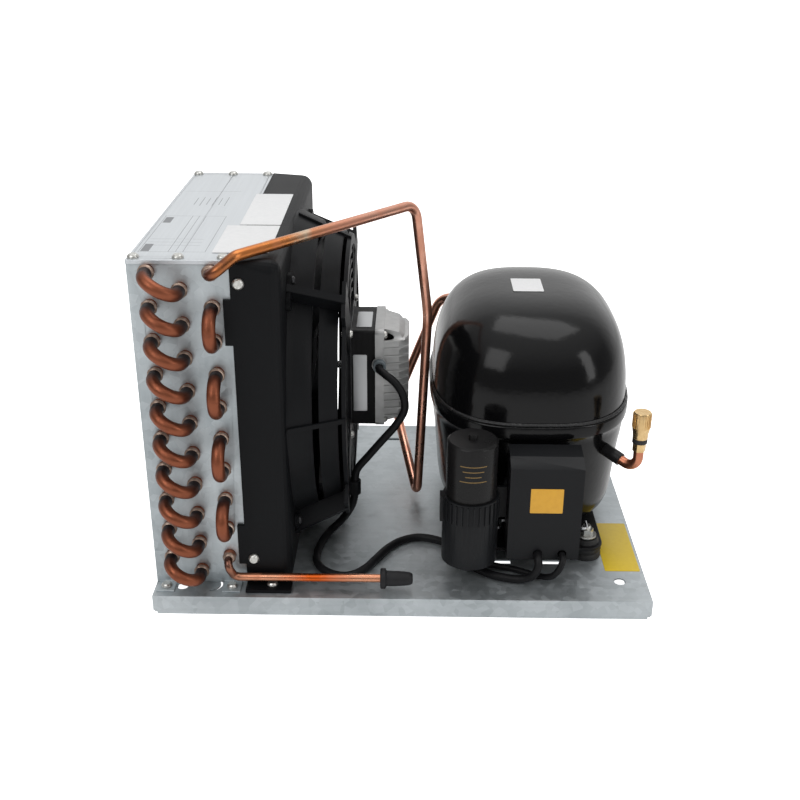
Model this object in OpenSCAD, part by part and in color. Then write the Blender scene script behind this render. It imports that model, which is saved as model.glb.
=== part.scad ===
// Air-cooled condensing unit: a coil, a shrouded fan and a hermetic compressor on a folded tray.
// X runs from the coil to the compressor, Y from the front to the back, Z up.
// The origin is the middle of the tray, at the underside of its skirt.

/* [Base tray] */
// Length of the tray, left to right
tray_len = 384; // [370:1:430]
// Depth of the tray, front to back
tray_depth = 305; // [300:1:340]
// Height of the folded skirt
skirt_h = 16; // [14:1:40]
// Thickness of the tray sheet
sheet_t = 1.2; // [0.8:0.1:2]
// Width of the lip folded in under the skirt
lip_w = 12; // [6:1:20]
// Diameter of the mounting holes
mount_hole_d = 9; // [6:0.5:12]
// Distance between the two mounting holes on the compressor side
right_row = 250; // [220:1:270]
// Distance between the two mounting holes on the coil side
left_row = 276; // [270:1:284]
// Distance of the mounting holes from the tray's short sides
row_inset = 21; // [14:1:24]

/* [Coil] */
// Width of the coil, across the air's way
coil_w = 71; // [68:0.5:76]
// Length of the coil between the outer faces of its end plates
coil_len = 263; // [240:1:268]
// Height of the coil
coil_h = 262; // [260:1:290]
// Outer diameter of the coil tubes
tube_d = 9.52; // [8:0.01:10]
// Wall of the coil tubes
tube_wall = 0.6; // [0.4:0.1:1]
// Distance between tubes up the coil
tube_pitch = 25.4; // [24:0.1:25.4]
// Distance between rows of tubes
row_pitch = 22; // [21:0.1:22]
// Number of tubes in each row
tubes_high = 10; // [10:1:10]
// Thickness of the end plates
plate_t = 1.2; // [0.8:0.1:1.5]
// Distance between the sheet fins
fin_pitch = 10; // [8:0.5:14]
// Thickness of a fin
fin_t = 0.9; // [0.4:0.1:1.2]

/* [Pipes] */
// Outer diameter of the discharge and suction pipes
pipe_d = 8; // [6:0.1:9]
// Outer diameter of the liquid line
liquid_d = 6.35; // [5:0.05:8]
// Length of the straight run of the liquid line
liquid_run = 117; // [90:1:125]

/* [Fan shroud] */
// Depth of the shroud box along the air's way
shroud_depth = 35; // [30:1:40]
// Wall of the shroud
shroud_wall = 2.5; // [2:0.1:3.5]
// Radius of the ring where it leaves the box
ring_r = 128.5; // [120:0.5:129]
// Depth of the motor basket beyond the box
basket_depth = 42; // [40:0.5:46]
// Radius of the basket at its outer end
basket_r = 109; // [108:0.5:112]

/* [Fan and motor] */
// Radius of the fan wheel
fan_r = 108; // [90:0.5:108]
// Number of fan blades
blade_count = 5; // [3:1:7]
// Width of the motor
motor_w = 60; // [58:0.5:62]
// Height of the motor
motor_h = 83; // [82:0.5:86]
// Depth of the lamination stack
stack_depth = 19.5; // [18:0.5:22]
// Diameter of the motor shaft
motor_shaft_d = 6; // [5:0.1:7]
// Diameter of the motor's lead
lead_d = 6.4; // [5:0.1:7]

/* [Compressor] */
// Half width of the upper shell
dome_a = 81; // [79:0.5:84]
// Half depth of the upper shell
dome_b = 107.5; // [104:0.5:110]
// Height of the shell's top above the tray
dome_top = 197; // [190:0.5:205]
// Height of the weld seam above the tray
seam_h = 116.5; // [113:0.5:120]
// Wall of the shell
shell_wall = 3; // [2.5:0.1:3.5]
// Distance between the feet, left to right
foot_pitch_x = 86; // [84:0.5:90]
// Distance between the feet, front to back
foot_pitch_y = 208; // [205:0.5:212]
// Throw of the crank
crank_throw = 8; // [6:0.25:8]
// Diameter of the cylinder bore
cylinder_bore = 26; // [24:0.5:27]

/* [Electrics] */
// Width of the terminal cover
cover_w = 56; // [54:0.5:60]
// Height of the terminal cover's front face
cover_h = 79; // [75:0.5:84]
// Diameter of the capacitor
capacitor_d = 38.8; // [36:0.1:40]
// Length of the capacitor
capacitor_len = 100; // [90:1:105]

/* [Service valve] */
// Diameter of the knurled cap
cap_d = 14.5; // [14:0.1:16]
// Height of the knurled cap
cap_h = 22; // [21:0.5:24]

/* [Hidden] */
$fn = 48;
// Overrun of every cut, and the gaps used between pieces
cut = 1;
gap = 0.3;
fit = 0.1;
run_fit = 0.03;
half = 0.5;

// Shared levels and centres
deck = skirt_h;
coil_x0 = -tray_len * half;
coil_x1 = coil_x0 + coil_w;
coil_mid_y = -1;
coil_front = coil_mid_y - coil_len * half;
coil_back = coil_mid_y + coil_len * half;
coil_top = deck + coil_h;
fan_z = deck + coil_h * half;
fan_y = coil_mid_y;
shroud_x0 = coil_x1 + gap;
shroud_x1 = shroud_x0 + shroud_depth;
basket_x1 = shroud_x1 + basket_depth;
comp_x = tray_len * half - 88;
base_x = comp_x + 2;
comp_y = 19.5;

// Generic solids
module disc_along_x(r, length) {
    rotate([0, 90, 0]) cylinder(r = r, h = length);
}
module disc_along_y(r, length) {
    rotate([-90, 0, 0]) cylinder(r = r, h = length);
}
module pipe_along_y(r, bore_r, length) {
    difference() {
        disc_along_y(r, length);
        translate([0, -cut, 0]) disc_along_y(bore_r, length + 2 * cut);
    }
}
module pipe_along_x(r, bore_r, length) {
    difference() {
        disc_along_x(r, length);
        translate([-cut, 0, 0]) disc_along_x(bore_r, length + 2 * cut);
    }
}
module block(low, high) {
    translate(low) cube(high - low);
}
module round_plate(w, d, r) {
    x = w * half - r;
    y = d * half - r;
    square([w, d - 2 * r], center = true);
    square([w - 2 * r, d], center = true);
    for (sx = [-1, 1], sy = [-1, 1]) translate([sx * x, sy * y]) circle(r = r);
}
// Pan-head screw pointing down, with its head's underside at the origin
module pan_screw(head_r, head_h, shank_r, shank_l) {
    rim = head_h * 0.4;
    rotate_extrude() polygon([
        [0, -shank_l], [shank_r, -shank_l], [shank_r, 0], [head_r, 0],
        [head_r, rim], [head_r * 0.7, head_h], [0, head_h]
    ]);
}

// Frames carried along a route, and the tube swept on them
function unit(v) = v / norm(v);
function heading(p, i) =
    i == 0 ? unit(p[1] - p[0]) :
    i == len(p) - 1 ? unit(p[i] - p[i - 1]) :
    unit(unit(p[i + 1] - p[i]) + unit(p[i] - p[i - 1]));
function square_to(n, t) = unit(n - (n * t) * t);
function carried(p, i, n) =
    i >= len(p) ? [] :
    let (m = square_to(n, heading(p, i))) concat([m], carried(p, i + 1, m));
module swept_tube(route, r, sides, up = [0, 0, 1]) {
    normals = carried(route, 0, up);
    rings = len(route);
    points = [
        for (i = [0:rings - 1])
            let (t = heading(route, i), n = normals[i], b = cross(t, n))
            for (k = [0:sides - 1])
                route[i] + r * (cos(360 * k / sides) * n + sin(360 * k / sides) * b)
    ];
    walls = [
        for (i = [0:rings - 2], k = [0:sides - 1])
            let (a = i * sides + k, b = i * sides + (k + 1) % sides)
            each [[a, b + sides, b], [a, a + sides, b + sides]]
    ];
    first = [for (k = [0:sides - 1]) k];
    last = [for (k = [sides - 1:-1:0]) (rings - 1) * sides + k];
    polyhedron(points = points, faces = concat([first], walls, [last]));
}
// Rings of equal count joined along X, each ring counted from +Y towards +Z
module ring_loft(rings) {
    n = len(rings[0]);
    last = (len(rings) - 1) * n;
    walls = [
        for (i = [0:len(rings) - 2], k = [0:n - 1])
            let (a = i * n + k, b = i * n + (k + 1) % n)
            each [[a, b + n, b], [a, a + n, b + n]]
    ];
    polyhedron(points = [for (r = rings) each r],
               faces = concat([[for (k = [0:n - 1]) k]], walls, [[for (k = [n - 1:-1:0]) last + k]]));
}
// Rounded rectangle across X: half width, half height, corner radius, place along X
corner_steps = 5;
function round_ring(s) = [
    for (q = [0:3], k = [0:corner_steps])
        let (a = 90 * (q + k / corner_steps), y = (q == 0 || q == 3) ? s[0] - s[2] : s[2] - s[0], z = q < 2 ? s[1] - s[2] : s[2] - s[1])
        [s[3], y + s[2] * cos(a), z + s[2] * sin(a)]
];
module round_loft(sections) {
    ring_loft([for (s = sections) round_ring(s)]);
}
// A straight-sided route with each inner corner turned on an arc of its own radius
function corner_arc(a, p, b, r, steps) =
    let (
        u = unit(a - p), v = unit(b - p),
        spread = acos(u * v),
        back = r / tan(spread * half),
        start = p + u * back, finish = p + v * back,
        middle = p + unit(u + v) * (r / sin(spread * half))
    )
    [
        for (k = [0:steps])
            let (f = k / steps, turn = (180 - spread) * f)
            middle + (start - middle) * (sin((180 - spread) - turn) / sin(180 - spread))
                   + (finish - middle) * (sin(turn) / sin(180 - spread))
    ];
function bent_route(p, radii, steps) = concat(
    [p[0]],
    [for (i = [1:len(p) - 2]) each corner_arc(p[i - 1], p[i], p[i + 1], radii[i - 1], steps)],
    [p[len(p) - 1]]
);
// A smooth curve through every point of a route
function eased(p0, p1, p2, p3, f) = half * (
    2 * p1 + (p2 - p0) * f
    + (2 * p0 - 5 * p1 + 4 * p2 - p3) * pow(f, 2)
    + (3 * p1 - p0 - 3 * p2 + p3) * pow(f, 3));
function smooth_route(p, steps) = concat(
    [
        for (i = [0:len(p) - 2], k = [0:steps - 1])
            eased(p[max(i - 1, 0)], p[i], p[i + 1], p[min(i + 2, len(p) - 1)], k / steps)
    ],
    [p[len(p) - 1]]
);

// Base tray: one galvanised sheet, its skirt folded down and its lips folded in
tray_slot_y = -98.5;
tray_slots = [[comp_x - 25, tray_slot_y], [comp_x + 15.5, tray_slot_y]];
tray_slot_w = 16;
tray_slot_d = 5;
tray_corner_notch = 3;
back_slot_y = tray_depth * half - 30.5;
back_slot_x = -12.5;
back_slot_w = 14;
tie_slot_r = 9;
tie_slot_w = 1.6;
tie_slot_x = coil_x0 + 43;
tie_slot_y = -tray_depth * half + 17;
screw_r = 1.9;
screw_hole_r = 2.05;
mount_x = tray_len * half - row_inset;
module base_tray() {
    wx = tray_len * half;
    wy = tray_depth * half;
    color("silver") difference() {
        union() {
            block([-wx, -wy, skirt_h - sheet_t], [wx, wy, skirt_h]);
            for (s = [-1, 1]) {
                block([-wx, s * wy - (s > 0 ? sheet_t : 0), 0], [wx, s * wy + (s < 0 ? sheet_t : 0), skirt_h]);
                block([s * wx - (s > 0 ? sheet_t : 0), -wy, 0], [s * wx + (s < 0 ? sheet_t : 0), wy, skirt_h]);
                block([-wx, min(s * wy, s * (wy - lip_w)), 0], [wx, max(s * wy, s * (wy - lip_w)), sheet_t]);
                block([min(s * wx, s * (wx - lip_w)), -wy, 0], [max(s * wx, s * (wx - lip_w)), wy, sheet_t]);
            }
        }
        // corner notches where the folds meet
        for (sx = [-1, 1], sy = [-1, 1])
            translate([sx * wx, sy * wy, 0])
                cube([2 * tray_corner_notch, 2 * tray_corner_notch, 2 * tray_corner_notch], center = true);
        // mounting holes, wider apart on the coil side
        for (s = [-1, 1]) {
            translate([mount_x, s * right_row * half, skirt_h - sheet_t - cut])
                cylinder(d = mount_hole_d, h = sheet_t + 2 * cut);
            translate([-mount_x, s * left_row * half, skirt_h - sheet_t - cut])
                cylinder(d = mount_hole_d, h = sheet_t + 2 * cut);
        }
        for (p = concat(foot_screw_places, shroud_foot_places))
            translate([p[0], p[1], skirt_h - sheet_t - cut]) cylinder(r = screw_hole_r, h = sheet_t + 2 * cut);
        for (p = foot_places)
            translate([p[0], p[1], skirt_h - sheet_t - cut]) cylinder(r = bolt_r + gap, h = sheet_t + 2 * cut);
        for (p = tray_slots)
            block([p[0] - tray_slot_w * half, p[1] - tray_slot_d * half, skirt_h - sheet_t - cut],
                  [p[0] + tray_slot_w * half, p[1] + tray_slot_d * half, skirt_h + cut]);
        block([back_slot_x - back_slot_w * half, back_slot_y - tray_slot_d * half, skirt_h - sheet_t - cut],
              [back_slot_x + back_slot_w * half, back_slot_y + tray_slot_d * half, skirt_h + cut]);
        // half-moon slot beside the coil's foot
        translate([tie_slot_x, tie_slot_y, skirt_h - sheet_t - cut]) difference() {
            cylinder(r = tie_slot_r, h = sheet_t + 2 * cut);
            translate([0, 0, -cut]) cylinder(r = tie_slot_r - tie_slot_w, h = sheet_t + 4 * cut);
            block([-tie_slot_r - cut, -tie_slot_r - cut, -cut], [0, tie_slot_r + cut, sheet_t + 3 * cut]);
        }
    }
}

// Coil: places of the tubes, row by row
row_inset_x = 14.5;
first_tube_drop = 8;
function row_x(row) = coil_x0 + row_inset_x + row * row_pitch;
function tube_z(row, i) = coil_top - first_tube_drop - i * tube_pitch - (row == 1 ? tube_pitch * half : 0);
tube_places = [for (row = [0:2], i = [0:tubes_high - 1]) [row_x(row), tube_z(row, i)]];
inlet = [row_x(2), tube_z(2, 0)];
outlet = [row_x(2), tube_z(2, tubes_high - 1)];
tube_front = coil_front - 5;
bend_r = norm([row_pitch, tube_pitch * half]) * half;
tube_hole_r = tube_d * half + fit;
top_sheet_t = 1.2;
flange_t = 1.2;
flange_depth = 14;
side_flange_depth = 12;
flange_z = coil_top - top_sheet_t - flange_t;
screw_head_r = 4.2;
screw_head_h = 2.6;
foot_tab_depth = 14;
foot_tab_w = 14;
foot_tab_y = 7;
foot_tab_xs = [coil_x0 + 2, coil_x1 - foot_tab_w - 4];
foot_screw_places = [
    for (x = foot_tab_xs, s = [-1, 1])
        [x + foot_tab_w * half, coil_mid_y + s * (coil_len * half + foot_tab_y)]
];
tongue_w = 12;
tongue_h = 16;
tongue_zs = [coil_top - 24, deck + 16];
tongue_screw_x = shroud_x0 + tongue_w * half;
top_screw_xs = [coil_x0 + 4.5, coil_x0 + coil_w * half, coil_x1 - 4.5];
top_screw_inset = 5;
// End plate at the front, its inner side towards +Y
module end_plate() {
    difference() {
        union() {
            block([coil_x0, coil_front, deck], [coil_x1, coil_front + plate_t, flange_z]);
            block([coil_x0, coil_front, flange_z], [coil_x1, coil_front + flange_depth, flange_z + flange_t]);
            block([coil_x0, coil_front, deck], [coil_x0 + plate_t, coil_front + side_flange_depth, flange_z]);
            for (x = foot_tab_xs)
                block([x, coil_front - foot_tab_depth, deck], [x + foot_tab_w, coil_front + plate_t, deck + plate_t]);
            for (z = tongue_zs)
                block([coil_x1 - cut, coil_front, z], [coil_x1 + tongue_w, coil_front + plate_t, z + tongue_h]);
        }
        for (p = tube_places)
            translate([p[0], coil_front - cut, p[1]]) disc_along_y(tube_hole_r, plate_t + 2 * cut);
        for (x = foot_tab_xs)
            translate([x + foot_tab_w * half, coil_front - foot_tab_y, deck - cut])
                cylinder(r = screw_hole_r, h = plate_t + 2 * cut);
        for (z = tongue_zs)
            translate([tongue_screw_x, coil_front - cut, z + tongue_h * half])
                disc_along_y(screw_hole_r, plate_t + 2 * cut);
        for (x = top_screw_xs)
            translate([x, coil_front + top_screw_inset, flange_z - cut])
                cylinder(r = screw_hole_r, h = flange_t + 2 * cut);
    }
}
module mirrored_coil() {
    translate([0, 2 * coil_mid_y, 0]) mirror([0, 1, 0]) children();
}
module coil_front_plate() {
    color("lightgray") end_plate();
}
module coil_rear_plate() {
    color("lightgray") mirrored_coil() end_plate();
}
module coil_top_plate() {
    lip = 1.2;
    drop = 3;
    color("gainsboro") difference() {
        union() {
            block([coil_x0, coil_front - lip, coil_top - top_sheet_t], [coil_x1, coil_back + lip, coil_top]);
            block([coil_x0, coil_front - lip, coil_top - drop], [coil_x1, coil_front - fit, coil_top]);
            block([coil_x0, coil_back + fit, coil_top - drop], [coil_x1, coil_back + lip, coil_top]);
        }
        for (x = top_screw_xs, y = [coil_front + top_screw_inset, coil_back - top_screw_inset])
            translate([x, y, coil_top - top_sheet_t - cut]) cylinder(r = screw_hole_r, h = top_sheet_t + 2 * cut);
    }
}
coil_screw_l = 5;
module coil_screws() {
    color("whitesmoke") {
        for (x = top_screw_xs, y = [coil_front + top_screw_inset, coil_back - top_screw_inset])
            translate([x, y, coil_top]) pan_screw(screw_head_r, screw_head_h, screw_r, coil_screw_l);
        for (p = foot_screw_places)
            translate([p[0], p[1], deck + plate_t]) pan_screw(screw_head_r, screw_head_h, screw_r, coil_screw_l);
    }
}
fin_start = 9;
fin_side = 1.6;
fin_foot = 1.6;
fin_top = flange_z - gap;
fin_count = floor((coil_len - 2 * fin_start) / fin_pitch) + 1;
fin_first = coil_mid_y - (fin_count - 1) * fin_pitch * half;
module fin_pack() {
    color("darkgray")
        for (k = [0:fin_count - 1])
            translate([0, fin_first + k * fin_pitch - fin_t * half, 0]) difference() {
                block([coil_x0 + fin_side, 0, deck + fin_foot], [coil_x1 - half, fin_t, fin_top]);
                for (p = tube_places)
                    translate([p[0], -cut, p[1]]) disc_along_y(tube_hole_r, fin_t + 2 * cut);
            }
}
// Two legs between two tube places, joined by a half turn at their far end
module u_tube(p, q, r, from_y, to_y, over) {
    across = q - p;
    reach = norm(across) * half;
    translate([(p[0] + q[0]) * half, 0, (p[1] + q[1]) * half]) rotate([0, -atan2(across[1], across[0]), 0]) {
        for (s = [-1, 1]) translate([s * reach, from_y - over, 0]) disc_along_y(r, to_y - from_y + over);
        translate([0, to_y, 0]) rotate_extrude(angle = 180) translate([reach, 0]) circle(r = r);
    }
}
tube_straight_back = coil_back + 1.5;
hairpins = concat(
    [for (i = [0:tubes_high - 1]) [[row_x(1), tube_z(1, i)], [row_x(2), tube_z(2, i)]]],
    [for (i = [0:2:tubes_high - 2]) [[row_x(0), tube_z(0, i)], [row_x(0), tube_z(0, i + 1)]]]
);
module hairpin_form(r, over) {
    for (h = hairpins) u_tube(h[0], h[1], r, tube_front, tube_straight_back, over);
}
module hairpin_tubes() {
    color("peru") difference() {
        hairpin_form(tube_d * half, 0);
        hairpin_form(tube_d * half - tube_wall, cut);
    }
}
bend_leg = 5.5;
front_bends = concat(
    [for (i = [0:tubes_high - 1]) [[row_x(0), tube_z(0, i)], [row_x(1), tube_z(1, i)]]],
    [for (i = [1:2:tubes_high - 2]) [[row_x(2), tube_z(2, i)], [row_x(2), tube_z(2, i + 1)]]]
);
module bend_form(r, over) {
    for (h = front_bends) mirror([0, 1, 0]) u_tube(h[0], h[1], r, -tube_front, bend_leg - tube_front, over);
}
module return_bends() {
    color("saddlebrown") difference() {
        bend_form(tube_d * half, 0);
        bend_form(tube_d * half - tube_wall, cut);
    }
}
braze_h = 2.4;
braze_w = 1.1;
module braze_ring(bore_r) {
    outer = tube_d * half + braze_w;
    rotate([90, 0, 0]) rotate_extrude() polygon([
        [bore_r, 0], [outer * 0.94, 0], [outer, braze_h * 0.3], [outer, braze_h * 0.6], [bore_r, braze_h]
    ]);
}
module braze_rings() {
    color("burlywood") {
        for (h = front_bends, p = h)
            translate([p[0], tube_front + braze_h * half, p[1]]) braze_ring(tube_d * half + run_fit);
        for (p = [[inlet, pipe_d], [outlet, liquid_d]])
            translate([p[0][0], tube_front - fit, p[0][1]]) braze_ring(p[1] * half + run_fit);
    }
}

// Discharge pipe: from the coil's inlet over the shroud, down in a long loop and up to the compressor
shroud_rise = 5.3;
discharge_route = [
    [inlet[0], tube_front, inlet[1]],
    [inlet[0], -152, inlet[1]],
    [inlet[0] + 18.5, -140, coil_top + shroud_rise],
    [basket_x1 + 50.7, 1, coil_top + shroud_rise + 1],
    [18.5, 4, 190],
    [11.5, -1, deck + 7],
    [-10, 98, 66],
    [comp_x - 72, comp_y + 97.5, 168],
    [comp_x - 34, comp_y + 74.5, 170]
];
discharge_radii = [7, 12, 13, 120, 6.5, 18, 16];
module discharge_pipe() {
    color("chocolate") swept_tube(bent_route(discharge_route, discharge_radii, 6), pipe_d * half, 12);
}

// Liquid line: from the coil's outlet down and along the front of the tray
liquid_y = -141;
liquid_z = deck + 11;
liquid_x0 = coil_x1 + 3;
liquid_x1 = liquid_x0 + liquid_run;
liquid_route = [
    [outlet[0], tube_front, outlet[1]],
    [outlet[0], -147.5, outlet[1]],
    [outlet[0] + 4, liquid_y, liquid_z],
    [liquid_x0 + 2, liquid_y, liquid_z]
];
liquid_radii = [4.5, 6];
shrink_share = 0.995;
module liquid_line() {
    color("darkorange") {
        swept_tube(bent_route(liquid_route, liquid_radii, 5), liquid_d * half * shrink_share, 12);
        translate([liquid_x0, liquid_y, liquid_z]) disc_along_x(liquid_d * half, liquid_run);
    }
}
line_cap_len = 25;
line_cap_cover = 16;
line_cap_r = 6;
line_cap_flange_r = 8;
module liquid_line_cap() {
    mouth = liquid_x1 - line_cap_cover;
    color([0.1, 0.1, 0.1]) translate([mouth, liquid_y, liquid_z]) rotate([0, 90, 0]) rotate_extrude() polygon([
        [liquid_d * half + run_fit, 0], [line_cap_flange_r, 0], [line_cap_flange_r, line_cap_len * 0.16],
        [line_cap_r, line_cap_len * 0.22], [line_cap_r * 0.8, line_cap_len * 0.9],
        [line_cap_r * 0.6, line_cap_len], [0, line_cap_len], [0, line_cap_cover + gap],
        [liquid_d * half + run_fit, line_cap_cover + gap]
    ]);
}

// Fan shroud: a moulded box against the coil, with the air ring standing out of its face
shroud_front = coil_front - shroud_wall - 2 * fit;
shroud_back = coil_back + shroud_wall + 2 * fit;
shroud_round = 9;
corner_share = 0.12;
cone_slope = (ring_r - basket_r) / basket_depth;
function cone_r(x) = ring_r - (x - shroud_x1) * cone_slope;
ring1_len = 17.5;
shroud_foot_depth = 12;
shroud_foot_t = 2.5;
shroud_foot_places = [
    [shroud_x0 + shroud_depth * 0.57, shroud_front - shroud_foot_depth * 0.3],
    [shroud_x0 + shroud_depth * 0.57, shroud_back + shroud_foot_depth * 0.3]
];
tab_w = 5.5;
tab_h = 34;
tab_zs = [coil_top - 62, deck + 19];
module shroud_shape(inset) {
    r = shroud_round - inset;
    hy = (shroud_back - shroud_front) * half - shroud_round;
    hz = (coil_top - deck - gap) * half - shroud_round;
    translate([0, coil_mid_y, (coil_top + deck + gap) * half]) round_loft(concat(
        [[hy + r, hz + r, corner_share * r, shroud_x0]],
        [
            for (k = [0:corner_steps])
                let (a = 90 * k / corner_steps, w = r * max(cos(a), corner_share))
                [hy + w, hz + w, w, shroud_x1 - shroud_round + r * sin(a)]
        ]
    ));
}
module fan_shroud() {
    color([0.13, 0.13, 0.14]) difference() {
        union() {
            difference() {
                shroud_shape(0);
                translate([-cut, 0, 0]) shroud_shape(shroud_wall);
                block([shroud_x0 - cut, shroud_front + shroud_wall, deck + gap + shroud_wall],
                      [shroud_x0 + cut, shroud_back - shroud_wall, coil_top - shroud_wall]);
            }
            // air ring, a cone that narrows away from the coil
            translate([0, fan_y, fan_z]) rotate([0, 90, 0]) rotate_extrude($fn = 96) polygon([
                [cone_r(shroud_x1) - shroud_wall, shroud_x1 - shroud_wall], [cone_r(shroud_x1), shroud_x1 - shroud_wall],
                [cone_r(shroud_x1), shroud_x1], [cone_r(shroud_x1 + ring1_len), shroud_x1 + ring1_len],
                [cone_r(shroud_x1 + ring1_len) - shroud_wall, shroud_x1 + ring1_len],
                [cone_r(shroud_x1) - shroud_wall, shroud_x1]
            ]);
            for (s = [-1, 1]) {
                edge = s < 0 ? shroud_front - shroud_foot_depth : shroud_back - shroud_wall;
                block([shroud_x0, edge, deck + gap],
                      [shroud_x1, edge + shroud_foot_depth + shroud_wall, deck + gap + shroud_foot_t]);
                for (z = tab_zs)
                    block([shroud_x0 - tab_w, s < 0 ? shroud_front : coil_back + 2 * fit, z],
                          [shroud_x0 + tab_w, s < 0 ? coil_front - 2 * fit : shroud_back, z + tab_h]);
            }
        }
        translate([0, fan_y, fan_z])
            translate([shroud_x1 - shroud_wall - cut, 0, 0])
                rotate([0, 90, 0]) cylinder(r = ring_r - shroud_wall, h = shroud_wall + 2 * cut, $fn = 96);
        for (p = shroud_foot_places)
            translate([p[0], p[1], deck]) cylinder(r = screw_hole_r, h = shroud_foot_t + 2 * cut);
        for (z = tongue_zs, y = [shroud_front - cut, coil_back - cut])
            translate([tongue_screw_x, y, z + tongue_h * half]) disc_along_y(screw_hole_r, shroud_wall + 3 * cut);
    }
}
shroud_screw_l = 6;
module shroud_screws() {
    color("whitesmoke") {
        for (p = shroud_foot_places)
            translate([p[0], p[1], deck + gap + shroud_foot_t])
                pan_screw(screw_head_r, screw_head_h, screw_r, shroud_screw_l);
        for (z = tongue_zs) {
            translate([tongue_screw_x, shroud_front, z + tongue_h * half])
                rotate([90, 0, 0]) pan_screw(screw_head_r, screw_head_h, screw_r, shroud_screw_l);
            translate([tongue_screw_x, shroud_back, z + tongue_h * half])
                rotate([-90, 0, 0]) pan_screw(screw_head_r, screw_head_h, screw_r, shroud_screw_l);
        }
    }
}

// Motor basket: two rings, eight ribs and four arms that carry the motor behind the fan
ring2_x0 = shroud_x1 + 22.5;
ring2_len = 13.5;
ring3_t = 3;
ring_wall = 3;
rib_w = 3.5;
rib_h = 2.2;
arm_w = 30;
arm_rise = 16;
arm_fin_w = 6;
guard_pitch = 8;
guard_w = 2.6;
guard_t = 2;
guard_first = 62;
guard_rings = floor((basket_r - 9 - guard_first) / guard_pitch) + 1;
window_gap = 2;
frame_w = 5;
basket_pad_r = 6;
basket_screw_r = ring_r + 8.5;
basket_screw_side = 9;
motor_fix = 44;
motor_hole_r = 2.2;
arm_x0 = basket_x1 - ring3_t;
module cone_rib(w, rise, from_x, to_x) {
    // a strip that stands on the cone between two places along the axis
    translate([0, w * half, 0]) rotate([90, 0, 0]) linear_extrude(w) polygon([
        [from_x, cone_r(from_x) + fit], [to_x, cone_r(to_x) + fit],
        [to_x, cone_r(to_x) + rise], [from_x, cone_r(from_x) + rise]
    ]);
}
module cone_ring(from_x, to_x, wall) {
    rotate([0, 90, 0]) rotate_extrude($fn = 96) polygon([
        [cone_r(from_x) - wall, from_x], [cone_r(from_x) + 2 * fit, from_x],
        [cone_r(to_x) + 2 * fit, to_x], [cone_r(to_x) - wall, to_x]
    ]);
}
module motor_basket() {
    color([0.12, 0.12, 0.13]) translate([0, fan_y, fan_z]) difference() {
        union() {
            cone_ring(ring2_x0, ring2_x0 + ring2_len, ring_wall);
            cone_ring(arm_x0, basket_x1, ring_wall + 5);
            for (k = [0:7]) rotate([45 * k, 0, 0]) {
                diagonal = k % 2;
                cone_rib(diagonal ? arm_fin_w : rib_w, diagonal ? arm_rise : rib_h, shroud_x1 + gap, basket_x1);
            }
            for (k = [0:3]) rotate([45 + 90 * k, 0, 0]) {
                // diagonal arm in the plane of the outer ring, and its foot on the box
                block([arm_x0, -arm_w * half, guard_first - guard_pitch], [basket_x1, arm_w * half, basket_r + arm_rise]);
                block([shroud_x1 + gap, -basket_screw_side, basket_screw_r - basket_pad_r],
                      [shroud_x1 + gap + ring3_t, basket_screw_side, basket_screw_r + basket_pad_r]);
                for (s = [-1, 1])
                    translate([shroud_x1 + gap, s * basket_screw_side, basket_screw_r]) disc_along_x(basket_pad_r, ring3_t);
            }
            for (k = [0:guard_rings - 1])
                translate([arm_x0, 0, 0]) pipe_along_x(guard_first + k * guard_pitch + guard_w,
                                                      guard_first + k * guard_pitch, guard_t);
            block([arm_x0, -motor_w * half - window_gap - frame_w, -motor_h * half - window_gap - frame_w],
                  [basket_x1, motor_w * half + window_gap + frame_w, motor_h * half + window_gap + frame_w]);
            for (s = [-1, 1])
                block([arm_x0, s * (motor_w * half) - frame_w * half, -basket_r + frame_w],
                      [basket_x1, s * (motor_w * half) + frame_w * half, basket_r - frame_w]);
        }
        block([arm_x0 - cut, -motor_w * half - window_gap, -motor_h * half - window_gap],
              [basket_x1 + cut, motor_w * half + window_gap, motor_h * half + window_gap]);
        for (k = [0:3]) rotate([45 + 90 * k, 0, 0]) {
            translate([shroud_x1 - cut, basket_screw_side, basket_screw_r])
                disc_along_x(screw_hole_r, ring3_t + 3 * cut);
            translate([arm_x0 - cut, 0, motor_fix * sqrt(2)]) disc_along_x(motor_hole_r, ring3_t + 2 * cut);
        }
    }
}
module basket_screws() {
    length = 3;
    head_h = 2.2;
    head_r = 3.6;
    color("dimgray") translate([0, fan_y, fan_z])
        for (k = [0:3]) rotate([45 + 90 * k, 0, 0])
            translate([shroud_x1 + gap + ring3_t, basket_screw_side, basket_screw_r])
                rotate([0, 90, 0]) pan_screw(head_r, head_h, screw_r, length);
}

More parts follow.
